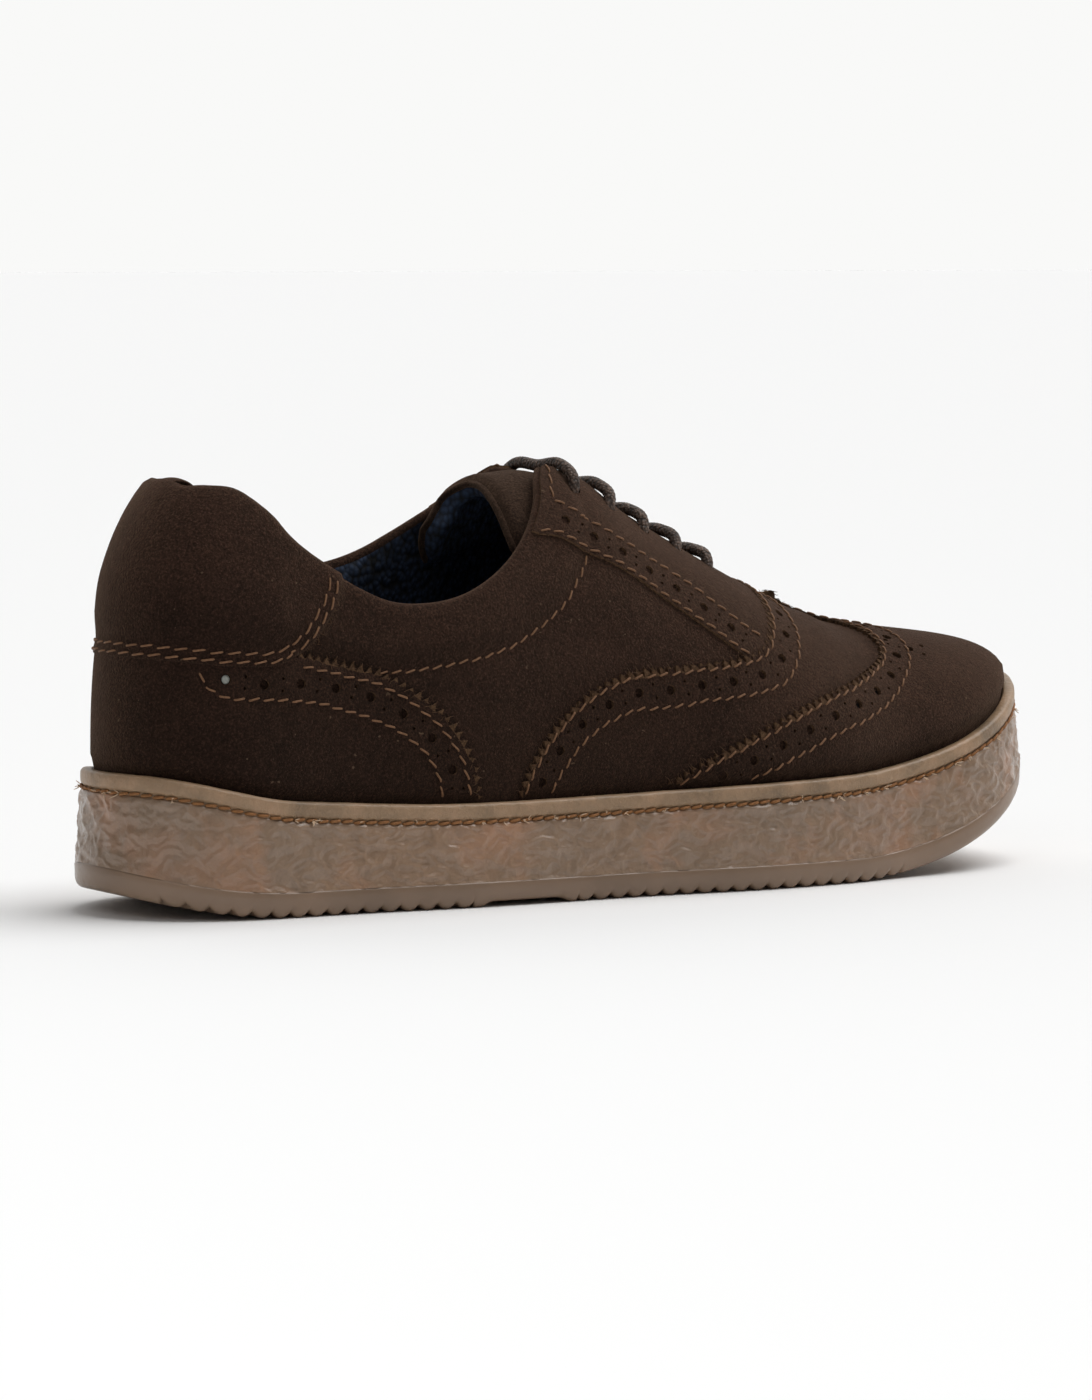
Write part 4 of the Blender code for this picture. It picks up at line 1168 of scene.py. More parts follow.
def stitch_row(threads, line, height_of, pitch=STITCH_PITCH, share=0.86, slant=0.30 * MM):
    """Separate slanted stitches along a row of the pattern, each sinking in at its ends."""
    run = true_run(line)
    count = int(run[-1] / pitch)
    if count < 1:
        return
    step = run[-1] / count
    t = np.linspace(-0.5, 0.5, 7)
    rows = []
    for k in range(count):
        middle = (k + 0.5) * step
        at = middle + t * step * share
        place = np.stack([np.interp(at, run, line[:, 0]), np.interp(at, run, line[:, 1])], axis=1)
        ahead = place[-1] - place[0]
        ahead /= max(np.linalg.norm(ahead), 1e-9)
        square = np.array([-ahead[1], ahead[0]])
        wander = 0.12 * MM * math.sin(k * 2.3)
        rows.append(place + square * (np.sin(t * math.pi)[:, None] * slant + wander))
    flat = np.concatenate(rows)
    high = height_of(flat).reshape(count, len(t))
    arch = STITCH_RADIUS * (0.85 - 2.6 * np.abs(2 * t) ** 5)
    lifted = lift(flat, (high + arch).ravel()).reshape(count, len(t), 3)
    for path in lifted:
        threads.add(path, STITCH_RADIUS)


# Rows and regions drawn only for the look

COLLAR_EDGE = (
    # around, rise
    (0.458, 0.660), (0.454, 0.622), (0.440, 0.553), (0.421, 0.484), (0.400, 0.440), (0.374, 0.397),
    (0.345, 0.371), (0.320, 0.359), (0.288, 0.346), (0.251, 0.338), (0.180, 0.390), (0.100, 0.350),
    (0.000, 0.330),
)
EYESTAY_UPPER_ROW = (
    # around, rise
    (0.4335, 0.772), (0.443, 0.752), (0.462, 0.717), (0.489, 0.688), (0.521, 0.660), (0.548, 0.620),
    (0.570, 0.568), (0.593, 0.510), (0.608, 0.474),
)
EYESTAY_CORNER_ROW = (
    # around, rise
    (0.4470, 0.905), (0.4435, 0.870), (0.4370, 0.815), (0.4335, 0.772),
)
COUNTER_FAR_ROW = (
    # around, rise
    (0.0975, 0.292), (0.105, 0.252), (0.119, 0.240), (0.157, 0.257), (0.199, 0.257), (0.225, 0.238),
    (0.251, 0.212), (0.278, 0.163), (0.294, 0.107), (0.301, 0.050), (0.302, 0.012),
)
COUNTER_HOLE_ROW = (
    # around, rise
    (0.112, 0.283), (0.150, 0.293), (0.190, 0.306), (0.225, 0.292), (0.250, 0.270), (0.270, 0.236),
    (0.290, 0.186), (0.304, 0.128), (0.314, 0.070), (0.317, 0.015),
)
VAMP_FRONT = (
    # around, rise
    (0.560, 0.010), (0.590, 0.060), (0.640, 0.150), (0.700, 0.270), (0.750, 0.370), (0.780, 0.460),
    (0.795, 0.600), (0.796, 0.750), (0.788, 0.880), (0.780, 1.000),
)
EYESTAY_FRONT = (
    # around, rise
    (0.590, 0.400), (0.606, 0.392), (0.624, 0.430), (0.640, 0.600), (0.648, 0.850), (0.650, 1.000),
)
MEDALLION = (
    # along from the middle, across to each side, hole diameter
    (0.0, 0.0, 2.6), (-8.0, 0.0, 1.5), (8.0, 0.0, 1.5), (-4.0, 8.0, 1.5), (4.5, 8.5, 2.2),
    (-7.5, 14.0, 1.5), (1.0, 15.5, 2.4), (6.5, 16.5, 1.4), (-9.0, 21.5, 1.4), (-1.0, 22.5, 1.5),
    (-6.0, 26.7, 1.5), (-0.6, 31.6, 2.6), (4.9, 29.8, 1.5), (3.0, 34.2, 1.3),
)
MEDALLION_X = 254.0 * MM
TIP_LIFT = 2.8 * MM
WING_TIP_X = around_x(WING_EDGE[-1][0])

TOP_EDGE = top_edge()
COLLAR_LINE = both_sides(COLLAR_EDGE)
COLLAR_REGION = COLLAR_LINE


def lip_run(low, high, count, up=-0.8 * MM):
    around = np.linspace(low, high, count)
    return to_flat(around, np.full(count, up))


PINK_PITCH = 2.6 * MM
PINK_DEPTH = 2.0 * MM
EDGE_STEP = 1.0 * MM
ROW_STEP = 0.8 * MM


def pinked_edge(table):
    """A sheet's edge over the shoe from lip to lip, with its teeth cut."""
    return pinked(spaced(both_sides(table), EDGE_STEP), PINK_PITCH, -PINK_DEPTH)


# The toe, vamp and counter outlines below each come with the number of their points that lie on the teeth.


def toe_outline(table):
    edge = pinked_edge(table)
    back = table[0][0]
    steps = int((1 - back) * 160)
    lateral = lip_run(back, 1.0, steps)
    medial = lip_run(-1.0, -back, steps)
    return np.concatenate([edge, medial[::-1], lateral[::-1][1:]]), len(edge)


def vamp_outline():
    edge = pinked_edge(VAMP_EDGE)
    front = spaced(both_sides(VAMP_FRONT), 2.0 * MM)
    lateral = lip_run(VAMP_EDGE[0][0], VAMP_FRONT[0][0], 30)
    medial = lip_run(-VAMP_FRONT[0][0], -VAMP_EDGE[0][0], 30)
    return np.concatenate([edge, medial[::-1], front[::-1], lateral[::-1]]), len(edge)


def counter_outline():
    edge = pinked_edge(COUNTER_EDGE)
    lateral = lip_run(1e-4, COUNTER_EDGE[0][0], 60)
    medial = lip_run(-COUNTER_EDGE[0][0], -1e-4, 60)
    return np.concatenate([edge, medial, lateral]), len(edge)


def nearest(line, point):
    return int(np.linalg.norm(line - point, axis=1).argmin())


def eyestay_outline(side):
    lower = drawn(EYESTAY_EDGE, side)
    lower = beside(spaced(lower, 1.5 * MM), 1.2 * MM * side)
    front = spaced(drawn(EYESTAY_FRONT, side), 2.0 * MM)[2:]
    fine = spaced(closed_line(TOP_EDGE), 1.2 * MM)[:-1]
    middle = np.array([around_x(THROAT_END), centre_line(around_x(THROAT_END))])
    at_middle = nearest(fine, middle)
    at_start = nearest(fine, lower[0])
    if side < 0:
        top = fine[at_start : at_middle + 1][::-1]
    else:
        top = fine[at_middle : at_start + 1]
    inset_to = lower.mean(axis=0)
    top = top + (inset_to - top) / np.linalg.norm(inset_to - top, axis=1)[:, None] * 0.25 * MM
    return np.concatenate([lower, front, top])


def counter_rows(side):
    near = offset_row(drawn(COUNTER_EDGE, side), REGIONS["counter"][1], ROW_IN)
    shown = []
    for row in near:
        around, _ = from_flat(row)
        shown.append(row[np.abs(around) > 0.185])
    return shown, spaced(drawn(COUNTER_FAR_ROW, side), ROW_STEP)


def holes_of_sheet(rows):
    found = []
    for row in rows:
        _, up = from_flat(row)
        row = row[up > 1.6 * MM]
        if len(row) > 10:
            found += perforations(row)
    return found


def thinned(holes, outline, clear=0.7 * MM):
    """The holes that keep clear of the sheet's outline and of each other."""
    line = closed_line(outline)
    kept = []
    for place, size, count in holes:
        point = place[None, :]
        if not inside_of(point, outline)[0]:
            continue
        if distance_to(point, line)[0] < size / 2 + clear:
            continue
        if any(np.linalg.norm(place - other[0]) < (size + other[1]) / 2 + 0.3 * MM for other in kept):
            continue
        kept.append((place, size, count))
    return kept


def make_sheets():
    """The cut sheets of the upper, with the rows of stitches that hold them."""
    threads = Threads()
    fibres = Threads()
    rows = {}
    for name in ("wing", "vamp"):
        edge, region = REGIONS[name]
        rows[name] = [offset_row(edge, region, d) for d in (ROW_IN, ROW_HOLES, ROW_FAR)]
    outline, teeth = toe_outline(WING_EDGE)
    holes = holes_of_sheet(rows["wing"][1])
    for along, across, size in MEDALLION:
        for side in (-1, 1) if across else (1,):
            place = np.array([MEDALLION_X + along * MM, centre_line(MEDALLION_X) + side * across * MM])
            holes.append((place, size * MM, 10))
    sheet_piece("wing_cap", "wing", outline, thinned(holes, outline), SUEDE, teeth=teeth)
    cut_fibres(fibres, outline[:teeth], "wing")
    outline, teeth = vamp_outline()
    holes = thinned(holes_of_sheet(rows["vamp"][1]), outline)
    sheet_piece("vamp", "vamp", outline, holes, SUEDE, teeth=teeth)
    cut_fibres(fibres, outline[:teeth], "vamp")
    for layer in ("wing", "vamp"):
        for index in (0, 2):
            for row in rows[layer][index]:
                stitch_row(threads, row, lambda p, layer=layer: sheet_height(p, layer))
    outline, teeth = counter_outline()
    holes = []
    for side in (-1, 1):
        hole_row = spaced(drawn(COUNTER_HOLE_ROW, side), ROW_STEP)
        holes += perforations(hole_row)
        near, far = counter_rows(side)
        for row in near + [far]:
            if len(row) > 4:
                stitch_row(threads, row, lambda p: sheet_height(p, "counter"))
    sheet_piece("counter", "counter", outline, thinned(holes, outline), SUEDE, teeth=teeth)
    cut_fibres(fibres, outline[:teeth], "counter")
    first = perforations(spaced(drawn(COUNTER_HOLE_ROW, -1), ROW_STEP))[0][0]
    make_plug(first)
    for side, word in ((-1, "lateral"), (1, "medial")):
        layer = "eyestay_" + word
        outline = eyestay_outline(side)
        upper_row = spaced(drawn(EYESTAY_UPPER_ROW, side), ROW_STEP)
        lower_row = spaced(drawn(EYESTAY_EDGE, side), ROW_STEP)
        middle = []
        for point in lower_row[6:]:
            other = upper_row[nearest(upper_row, point)]
            middle.append((point + other) / 2)
        holes = perforations(relaxed(np.array(middle), 20))
        eyelets = [(place, EYELET_HOLE, 16) for place in eyelet_places(side)]
        sheet_piece(layer, layer, outline, thinned(eyelets + holes, outline), SUEDE, 2.0 * MM)
        for row in (upper_row, lower_row, spaced(drawn(EYESTAY_CORNER_ROW, side), ROW_STEP)):
            stitch_row(threads, row, lambda p, layer=layer: sheet_height(p, layer))
        collar_row = spaced(drawn(COLLAR_EDGE[1:10], side), ROW_STEP)
        stitch_row(threads, collar_row, base_height)
    edge, region = REGIONS["patch"]
    for distance in (1.7 * MM, 4.0 * MM):
        for row in offset_row(edge, region, distance):
            stitch_row(threads, row, base_height, 4.6 * MM)
    threads.piece("upper_stitches", THREAD, "brown_suede")
    for side in (-1, 1):
        cut_fibres(fibres, spaced(drawn(PATCH_EDGE, side), 0.7 * MM), "patch")
    fibres.piece("cut_fibres", FIBRE, "brown_suede")


def cut_fibres(fibres, edge, layer):
    """Short loose fibres standing out of a sheet's cut teeth."""
    draw = random.Random(layer)
    around, up = from_flat(edge)
    high = base_height(edge) if layer == "patch" else sheet_height(edge, layer)
    for k in range(1, len(edge) - 1):
        if up[k] < 1.5 * MM:
            continue
        if layer == "counter" and abs(around[k]) < 0.19:
            continue
        if draw.random() < 0.35:
            continue
        ahead = edge[k + 1] - edge[k - 1]
        ahead /= max(np.linalg.norm(ahead), 1e-9)
        out = np.array([-ahead[1], ahead[0]])
        lean = draw.uniform(-0.9, 0.9)
        reach = draw.uniform(0.5, 1.5) * MM
        turn = out + ahead * lean
        curl = draw.uniform(-0.6, 0.6)
        share = np.array([-0.5, 0.0, 0.5, 1.0])
        flat = edge[k] + share[:, None] * reach * turn + (share**2)[:, None] * reach * curl * ahead
        level = high[k] + np.array([0.0, 0.1, draw.uniform(-0.3, 0.35), draw.uniform(-0.8, 0.7)]) * MM
        fibres.add(lift(flat, level), 0.09 * MM, 3)


PLUG_RADIUS = 1.25 * MM
PLUG_FLATNESS = 0.45


def make_plug(place):
    """The pale stud that fills the first hole of the counter's row: a flattened ball."""
    base = lift(place[None, :], base_height(place[None, :]) + 0.55 * MM)[0]
    rings = 7
    sides = 16
    turn = np.linspace(0, 2 * math.pi, sides, endpoint=False)
    points = [np.array([[0.0, 0.0, 1.0]])]
    for fall in np.linspace(0, math.pi, rings + 2)[1:-1]:
        level = np.full(sides, math.cos(fall))
        points.append(np.stack([math.sin(fall) * np.cos(turn), math.sin(fall) * np.sin(turn), level], axis=1))
    points.append(np.array([[0.0, 0.0, -1.0]]))
    points = np.concatenate(points) * PLUG_RADIUS * np.array([1, PLUG_FLATNESS, 1]) + base
    faces = [tuple(1 + i for i in face)[::-1] for face in grid_faces(rings, sides, closed=True)]
    end = len(points) - 1
    for c in range(sides):
        d = (c + 1) % sides
        faces.append((0, 1 + c, 1 + d))
        faces.append((end, end - sides + d, end - sides + c))
    mesh_piece("counter_plug", points, faces, PLUG)


def make_quarter():
    """The upper's own skin: quarter and heel patch, rolled over its top edge into the lining."""
    feather_around = np.r_[np.linspace(0, 1, 180), np.linspace(-1, 0, 180)[1:-1]]
    feather = to_flat(feather_around, np.full(len(feather_around), -CUP_DEPTH + CLEARANCE))
    edge = spaced(closed_line(TOP_EDGE), 1.6 * MM)[:-1]
    eyelets = [ring(place, EYELET_HOLE, 16) for side in (-1, 1) for place in eyelet_places(side)]
    loops = [feather, edge] + eyelets
    creases = []
    patch_edge, region = REGIONS["patch"]
    line = spaced(patch_edge, 1.6 * MM)
    left = beside(line, 0.7 * MM)
    inner = left if inside_of(left, region).mean() > 0.5 else beside(line, -0.7 * MM)
    for each in (line, inner):
        creases.append(short_of(each, edge, 0.6 * MM))
    grid = fine_grid(loops, 2.6 * MM, 1.2 * MM)
    for each in creases:
        grid = grid[distance_to(grid, each) > 0.8 * MM]
    flat, faces, rim = triangulate(loops, creases, grid)
    outer = lift(flat, base_height(flat))
    edge_rows = np.array(rim[len(feather) : len(feather) + len(edge)])
    out_edge = outer[edge_rows]
    in_edge = lift(flat[edge_rows], -wall_thickness(flat[edge_rows], edge))
    rolled = rolled_edge(out_edge, in_edge, edge)
    points = [outer]
    all_faces = [tuple(face) for face in oriented(faces, flat)]
    total = len(outer)
    previous = edge_rows
    for row in list(rolled) + [in_edge]:
        points.append(row)
        here = np.arange(total, total + len(edge))
        total += len(edge)
        for a, b, c, d in zip(previous, np.roll(previous, -1), np.roll(here, -1), here):
            all_faces.append((a, b, c, d))
        previous = here
    piece = mesh_piece("quarter", np.concatenate(points), all_faces, SUEDE)
    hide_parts("upper")
    inner = lift(flat, -wall_thickness(flat, edge))
    lining = [tuple(face)[::-1] for face in oriented(faces, flat)]
    mesh_piece("lining", inner, lining, LINING)


def make_heel_tab():
    """The small folded tab at the back of the topline."""
    across = np.linspace(-4.2 * MM, 4.2 * MM, 9)
    turn = np.linspace(-0.15 * math.pi, 1.15 * math.pi, 13)
    top = lift(to_flat([0.0], [0.742 * rib_length([0.0])[0]]), 0)[0]
    rows = []
    for angle in turn:
        for y in across:
            bow = 1 - 0.25 * (y / (4.2 * MM)) ** 2
            x = top[0] + 3.4 * MM - 4.4 * MM * math.cos(angle)
            z = top[2] - 0.6 * MM + 2.9 * MM * math.sin(angle) * bow
            rows.append((x, top[1] + y, z))
    piece = mesh_piece("heel_tab", rows, grid_faces(len(turn), len(across)), SUEDE)
    thick = piece.modifiers.new("thick", "SOLIDIFY")
    thick.thickness = 1.1 * MM
    thick.offset = -1
    soft = piece.modifiers.new("soft", "SUBSURF")
    soft.levels = soft.render_levels = 2


TONGUE_TOP = (
    # across, medial above zero, place along the shoe
    (-38.0, 0.404), (-30.0, 0.401), (-20.0, 0.400), (-8.0, 0.400), (0.0, 0.399), (7.0, 0.393),
    (13.0, 0.384), (20.0, 0.370), (25.0, 0.364), (31.0, 0.366), (38.0, 0.376),
)


def make_tongue_piece():
    """The padded tongue, brown outside and lined inside."""
    end = 0.715
    across, rows = 45, 60
    outer = []
    inner = []
    for row in range(rows):
        share = row / (rows - 1)
        half = TONGUE_HALF_TOP + (TONGUE_HALF_END - TONGUE_HALF_TOP) * ease(share)
        s = np.linspace(-1, 1, across)
        out = s * half
        start = np.interp(out, [row[0] * MM for row in TONGUE_TOP], [row[1] for row in TONGUE_TOP])
        xs = LENGTH * (start + (end - start) * share)
        flat = np.stack([xs, centre_line(xs) + out], axis=1)
        swell = 2.6 * MM * math.exp(-((share - 0.035) / 0.05) ** 2)
        edge = np.sqrt(np.clip(1 - np.abs(s) ** 10, 0.02, 1))
        lip = math.sqrt(max(0.0, 1 - max(0, 1 - share / 0.03) ** 2))
        half_thick = (TONGUE_THICKNESS + swell) / 2 * edge * lip
        depth = WALL + SOFT_CLEARANCE + 1.0 * MM * (1 - ease(share / 0.2)) + TONGUE_THICKNESS / 2
        depth = depth + 0.5 * swell
        depth = depth + COLLAR_PAD * ease((out - 13 * MM) / (9 * MM)) * (1 - ease(share / 0.35))
        outer.append(lift(flat, -(depth - half_thick)))
        inner.append(lift(flat, -(depth + half_thick)))
    outer = np.concatenate(outer)
    inner = np.concatenate(inner)
    faces = grid_faces(rows, across)
    skin = mesh_piece("tongue_skin", outer, faces, SUEDE_DARK)
    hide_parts("tongue")
    mesh_piece("tongue_lining", inner, [face[::-1] for face in faces], LINING)
    binding = Threads()
    rim = (outer.reshape(rows, across, 3)[0] + inner.reshape(rows, across, 3)[0]) / 2
    binding.add(rim, 1.0 * MM, 12)
    binding.piece("tongue_binding", SUEDE_DARK, "brown_suede")


# The lace


def lace_route():
    """The lace's path: over the throat, down an eyelet, along under the facing and up the next."""
    high = EYESTAY_SHEET + LACE_DIAMETER / 2
    left = eyelet_places(-1)
    right = eyelet_places(1)
    path = []
    for number in range(EYELETS):
        ends = (left[number], right[number]) if number % 2 == 0 else (right[number], left[number])
        a, b = ends
        half = throat_half(np.array([abs(from_flat([a])[0][0])]))[0]
        drop = half + EYELET_INSET
        near_a = a + (b - a) * 0.5 * (1 - half / drop)
        near_b = b + (a - b) * 0.5 * (1 - half / drop)
        lifted = lift(
            np.array([a, a, a + 0.28 * (near_a - a), near_a, near_b, b + 0.28 * (near_b - b), b, b]),
            np.array([-3.4, 0.2, 0.0, 0.0, 0.0, 0.0, 0.2, -3.4]) * MM
            + np.array([0, 0, high, high, high, high, 0, 0]),
        )
        middle = (lifted[3] + lifted[4]) / 2 + np.array([0.0, 0.0, -0.2 * MM])
        path.append(np.concatenate([lifted[:4], [middle], lifted[4:]]))
    return path


def lace_mesh():
    """The round braid as one tube through all the eyelets."""
    knots = np.concatenate(lace_route())
    run = np.r_[0, np.cumsum(np.linalg.norm(np.diff(knots, axis=0), axis=1))]
    at = np.linspace(0, run[-1], 900)
    path = np.stack([smooth_path(at, run, knots[:, k]) for k in range(3)], axis=1)
    for _ in range(10):
        path[1:-1] = (path[:-2] + 2 * path[1:-1] + path[2:]) / 4
    along = np.gradient(path, axis=0)
    along /= np.linalg.norm(along, axis=1)[:, None]
    sides = 18
    turn = np.linspace(0, 2 * math.pi, sides, endpoint=False)
    first = np.array([0.3, 0.4, 0.8])
    points = []
    for k, (point, ahead) in enumerate(zip(path, along)):
        first = first - ahead * (first @ ahead)
        first /= np.linalg.norm(first)
        second = np.cross(ahead, first)
        weave = np.sin(turn * 6 + k * 0.9) * np.sin(turn * 6 - k * 0.9)
        radius = LACE_DIAMETER / 2 * (1 + 0.05 * weave)
        circle = np.cos(turn)[:, None] * first + np.sin(turn)[:, None] * second
        points.append(point + radius[:, None] * circle)
    faces = grid_faces(len(path), sides, closed=True)
    faces.append(tuple(range(sides))[::-1])
    faces.append(tuple(range((len(path) - 1) * sides, len(path) * sides)))
    piece = mesh_piece("lace", np.concatenate(points), faces, LACE)
    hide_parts(*[f"lace_bar_{n}" for n in range(1, EYELETS + 1)])


# The sole


def ring_grid(rows, count):
    """Points around the whole shoe for each row of a profile: inset and height at each place."""
    around = np.r_[np.linspace(0, 1, count), np.linspace(-1, 0, count)[1:-1]]
    base = plan(around)
    points = []
    for inset, height in rows:
        place = plan(around, inset)
        points.append(np.column_stack([place, height(base[:, 0])]))
    return np.array(points), around


CREPE_COLUMNS = 740
CREPE_ROWS = 46
CREPE_RELIEF = 0.95 * MM
LIP_ROUND = 1.2 * MM
CREPE_SEED = 7


def worm(point):
    """The crepe's wrinkles: ridges where bent noise crosses zero."""
    x, y, z = (float(v) for v in point)
    where = Vector((x * 260, y * 260, z * 330))
    bend = noise.noise_vector(where * 0.7) * 0.7
    ridge = max(0.0, 1 - abs(noise.noise(where + bend)) * 3.4)
    lump = noise.noise(where * 0.8 + Vector((7, 3, 1)))
    return 0.40 * ridge**0.7 + 0.60 * lump + 0.05


def make_cup_pieces():
    noise.seed_set(CREPE_SEED)
    groove = LIP_DEPTH + GROOVE_HEIGHT
    count = 620

    def below_lip(depth):
        return lambda x: lip_height(x) - depth

    lip_rows = [(LIP_WIDTH, below_lip(CUP_DEPTH)), (LIP_WIDTH, below_lip(1.0 * MM))]
    lip_rows += [(LIP_WIDTH - 0.25 * MM, below_lip(0.25 * MM)), (LIP_WIDTH - 0.7 * MM, below_lip(0.0))]
    for turn in np.linspace(0, 1, 6):
        angle = turn * math.pi / 2
        inset = LIP_ROUND * (1 - math.sin(angle))
        depth = LIP_ROUND * (1 - math.cos(angle))
        lip_rows.append((inset, below_lip(depth)))
    lip_rows += [(-0.05 * MM, below_lip(2.2 * MM)), (0.0, below_lip(3.3 * MM))]
    lip_rows += [(0.15 * MM, below_lip(3.9 * MM)), (0.5 * MM, below_lip(4.25 * MM))]
    lip_rows += [(GROOVE_DEPTH, below_lip(4.5 * MM)), (GROOVE_DEPTH, below_lip(groove + 0.1 * MM))]
    points, around = ring_grid(lip_rows, count)
    flat_points = points.reshape(-1, 3)
    ripple = np.array([noise.noise(Vector(p) * 160) for p in flat_points])
    fine = np.array([noise.noise(Vector(p) * 620) for p in flat_points])
    outward = (plan(around) - plan(around, 1 * MM)) / MM
    outward = np.tile(outward, (len(lip_rows), 1))
    amount = 0.10 * ripple + 0.05 * fine
    weight = np.repeat(np.r_[0, np.ones(len(lip_rows) - 1)], len(around))
    flat_points[:, :2] += outward * (amount * weight * MM)[:, None]
    flat_points[:, 2] += amount * weight * MM * 0.8
    faces = grid_faces(len(lip_rows), len(around), closed=True)
    piece = mesh_piece("sole_lip", flat_points, faces, LIP_FINISH)
    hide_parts("cup_sole")

    steps = CREPE_ROWS
    rows = [(GROOVE_DEPTH, below_lip(groove))]
    for share in np.linspace(0, 1, steps):
        inset = -0.2 * MM + (-FLARE + 0.2 * MM) * share + 0.55 * MM * max(0, 1 - share / 0.06)

        def height(x, share=share):
            high = lip_height(x) - groove - 0.15 * MM
            return high + (band_top(x) - CLEARANCE - high) * share

        rows.append((inset, height))
    points, around = ring_grid(rows, CREPE_COLUMNS)
    flat_points = points.reshape(-1, 3)
    size = np.array([worm(p) for p in flat_points])
    outward = (plan(around) - plan(around, 1 * MM)) / MM
    outward = np.tile(outward, (len(rows), 1))
    share = np.repeat(np.r_[0, np.linspace(0, 1, steps)], len(around))
    weight = ease(share / 0.08) * (0.35 + 0.65 * ease((1 - share) / 0.06))
    flat_points[:, :2] += outward * ((size - 0.45) * CREPE_RELIEF * weight)[:, None]
    faces = grid_faces(len(rows), len(around), closed=True)
    mesh_piece("sole_crepe", flat_points, faces, CREPE)

    floor_steps = np.linspace(0, 1, 90)
    floor_points = []
    for around_one in floor_steps:
        for side in (-1, 1):
            place = plan([-side * around_one], LIP_WIDTH - 0.2 * MM)[0]
            x = plan([-side * around_one])[0, 0]
            floor_points.append((place[0], place[1], lip_height(np.array([x]))[0] - CUP_DEPTH))
    mesh_piece("cup_floor", floor_points, grid_faces(90, 2), FOOTBED)


def tread_cut(x):
    """How deep the tread is cut at x, as on the solid."""
    depth = np.zeros(len(x))
    for start, end in TREAD_ZONES:
        count = int((end - start) * LENGTH / LUG_PITCH)
        local = (x - start * LENGTH) / LUG_PITCH
        phase = local - np.floor(local)
        inside = (local > 0) & (local < count)
        notch = (1 - np.abs(np.sin(math.pi * phase))) ** 1.2
        depth = np.where(inside, 1.15 * LUG_DEPTH * notch, depth)
    rise = 0.015
    waist = ease((x / LENGTH - WAIST[0] + rise) / rise) * ease((WAIST[1] + rise - x / LENGTH) / rise)
    return np.maximum(depth, LUG_DEPTH * waist)


def make_outsole_piece():
    count = 900
    rows = [(-FLARE + 2.4 * MM, lambda x: bottom_height(x) + OUTSOLE_THICKNESS)]
    rows.append((-FLARE + 0.1 * MM, lambda x: bottom_height(x) + OUTSOLE_THICKNESS))
    rows.append((-FLARE - 0.1 * MM, lambda x: bottom_height(x) + OUTSOLE_THICKNESS - 0.5 * MM))
    rows.append((-FLARE, lambda x: bottom_height(x) + 4.5 * MM))
    for turn in np.linspace(0, 1, 7):
        angle = turn * math.pi / 2
        inset = -FLARE + 2.3 * MM * (1 - math.cos(angle))
        level = 3.4 * MM * (1 - math.sin(angle))

        def height(x, level=level):
            cut = tread_cut(x)
            return bottom_height(x) + cut + level * (1 - cut / (5 * MM))

        rows.append((inset, height))
    points, around = ring_grid(rows, count)
    points = points.reshape(-1, 3)
    faces = grid_faces(len(rows), len(around), closed=True)
    side = mesh_piece("outsole_band", points, faces, BAND)
    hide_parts("outsole")

    stations = np.linspace(0.0006, 0.9994, 560) * LENGTH
    columns = 9
    rows = []
    for x in stations:
        pair = plan([around_at(x, -1), around_at(x, 1)], -FLARE + 2.1 * MM)
        z = bottom_height(np.array([x]))[0] + tread_cut(np.array([x]))[0]
        for share in np.linspace(0, 1, columns):
            place = pair[0] + (pair[1] - pair[0]) * share
            rows.append((place[0], place[1], z))
    mesh_piece("tread", rows, [f[::-1] for f in grid_faces(len(stations), columns)], BAND)


def make_sole_stitches():
    threads = Threads()
    count = 196
    t = np.linspace(-0.5, 0.5, 7)
    for side in (-1, 1):
        share = np.linspace(0, 1, 4000)
        line = plan(-side * share, 0.25 * MM)
        run = np.r_[0, np.cumsum(np.linalg.norm(np.diff(line, axis=0), axis=1))]
        number = count // 2
        step = run[-1] / number
        for k in range(number):
            at = (k + 0.5) * step + t * step * 0.93
            around = np.interp(at, run, share) * -side
            arch = 1.0 - np.abs(2 * t) ** 3
            inset = GROOVE_DEPTH - 0.15 * MM - 0.55 * MM * arch
            place = plan(around, inset)
            wander = 0.12 * MM * math.sin(k * 1.9) + 0.25 * MM * t * 2
            z = lip_height(plan(around)[:, 0]) - LIP_DEPTH - 0.75 * MM + wander
            threads.add(np.column_stack([place, z]), 0.42 * MM)
    threads.piece("sole_stitches", SOLE_THREAD, "crepe_rubber")
    draw = random.Random(11)
    fluff = Threads()
    for _ in range(100):
        around = draw.uniform(-1, 1)
        place = plan([around], 0.1 * MM)[0]
        ahead = (plan([around], -1 * MM)[0] - place) / MM
        z = lip_height(np.array([plan([around])[0, 0]]))[0] - LIP_DEPTH - 0.8 * MM
        for _ in range(draw.randint(1, 4)):
            side = draw.uniform(-1, 1)
            rise = draw.uniform(-1, 0.8)
            reach = draw.uniform(0.7, 1.9) * MM
            bend = [
                (place[0] + ahead[0] * reach * s - ahead[1] * side * reach * s * s,
                 place[1] + ahead[1] * reach * s + ahead[0] * side * reach * s * s,
                 z + rise * reach * s)
                for s in (0.0, 0.35, 0.7, 1.0)
            ]
            fluff.add(bend, 0.15 * MM, 4)
    fluff.piece("sole_thread_ends", PALE_THREAD, "crepe_rubber")


# Camera, floor and light

CAMERA_AZIMUTH = math.radians(-32.012)
CAMERA_HEIGHT = math.radians(4.7)
CAMERA_DISTANCE = 1.544882
CAMERA_TARGET = np.array([0.145565, 0.0, 0.051538])
CAMERA_LENS = 5459.595 * 36 / 1400


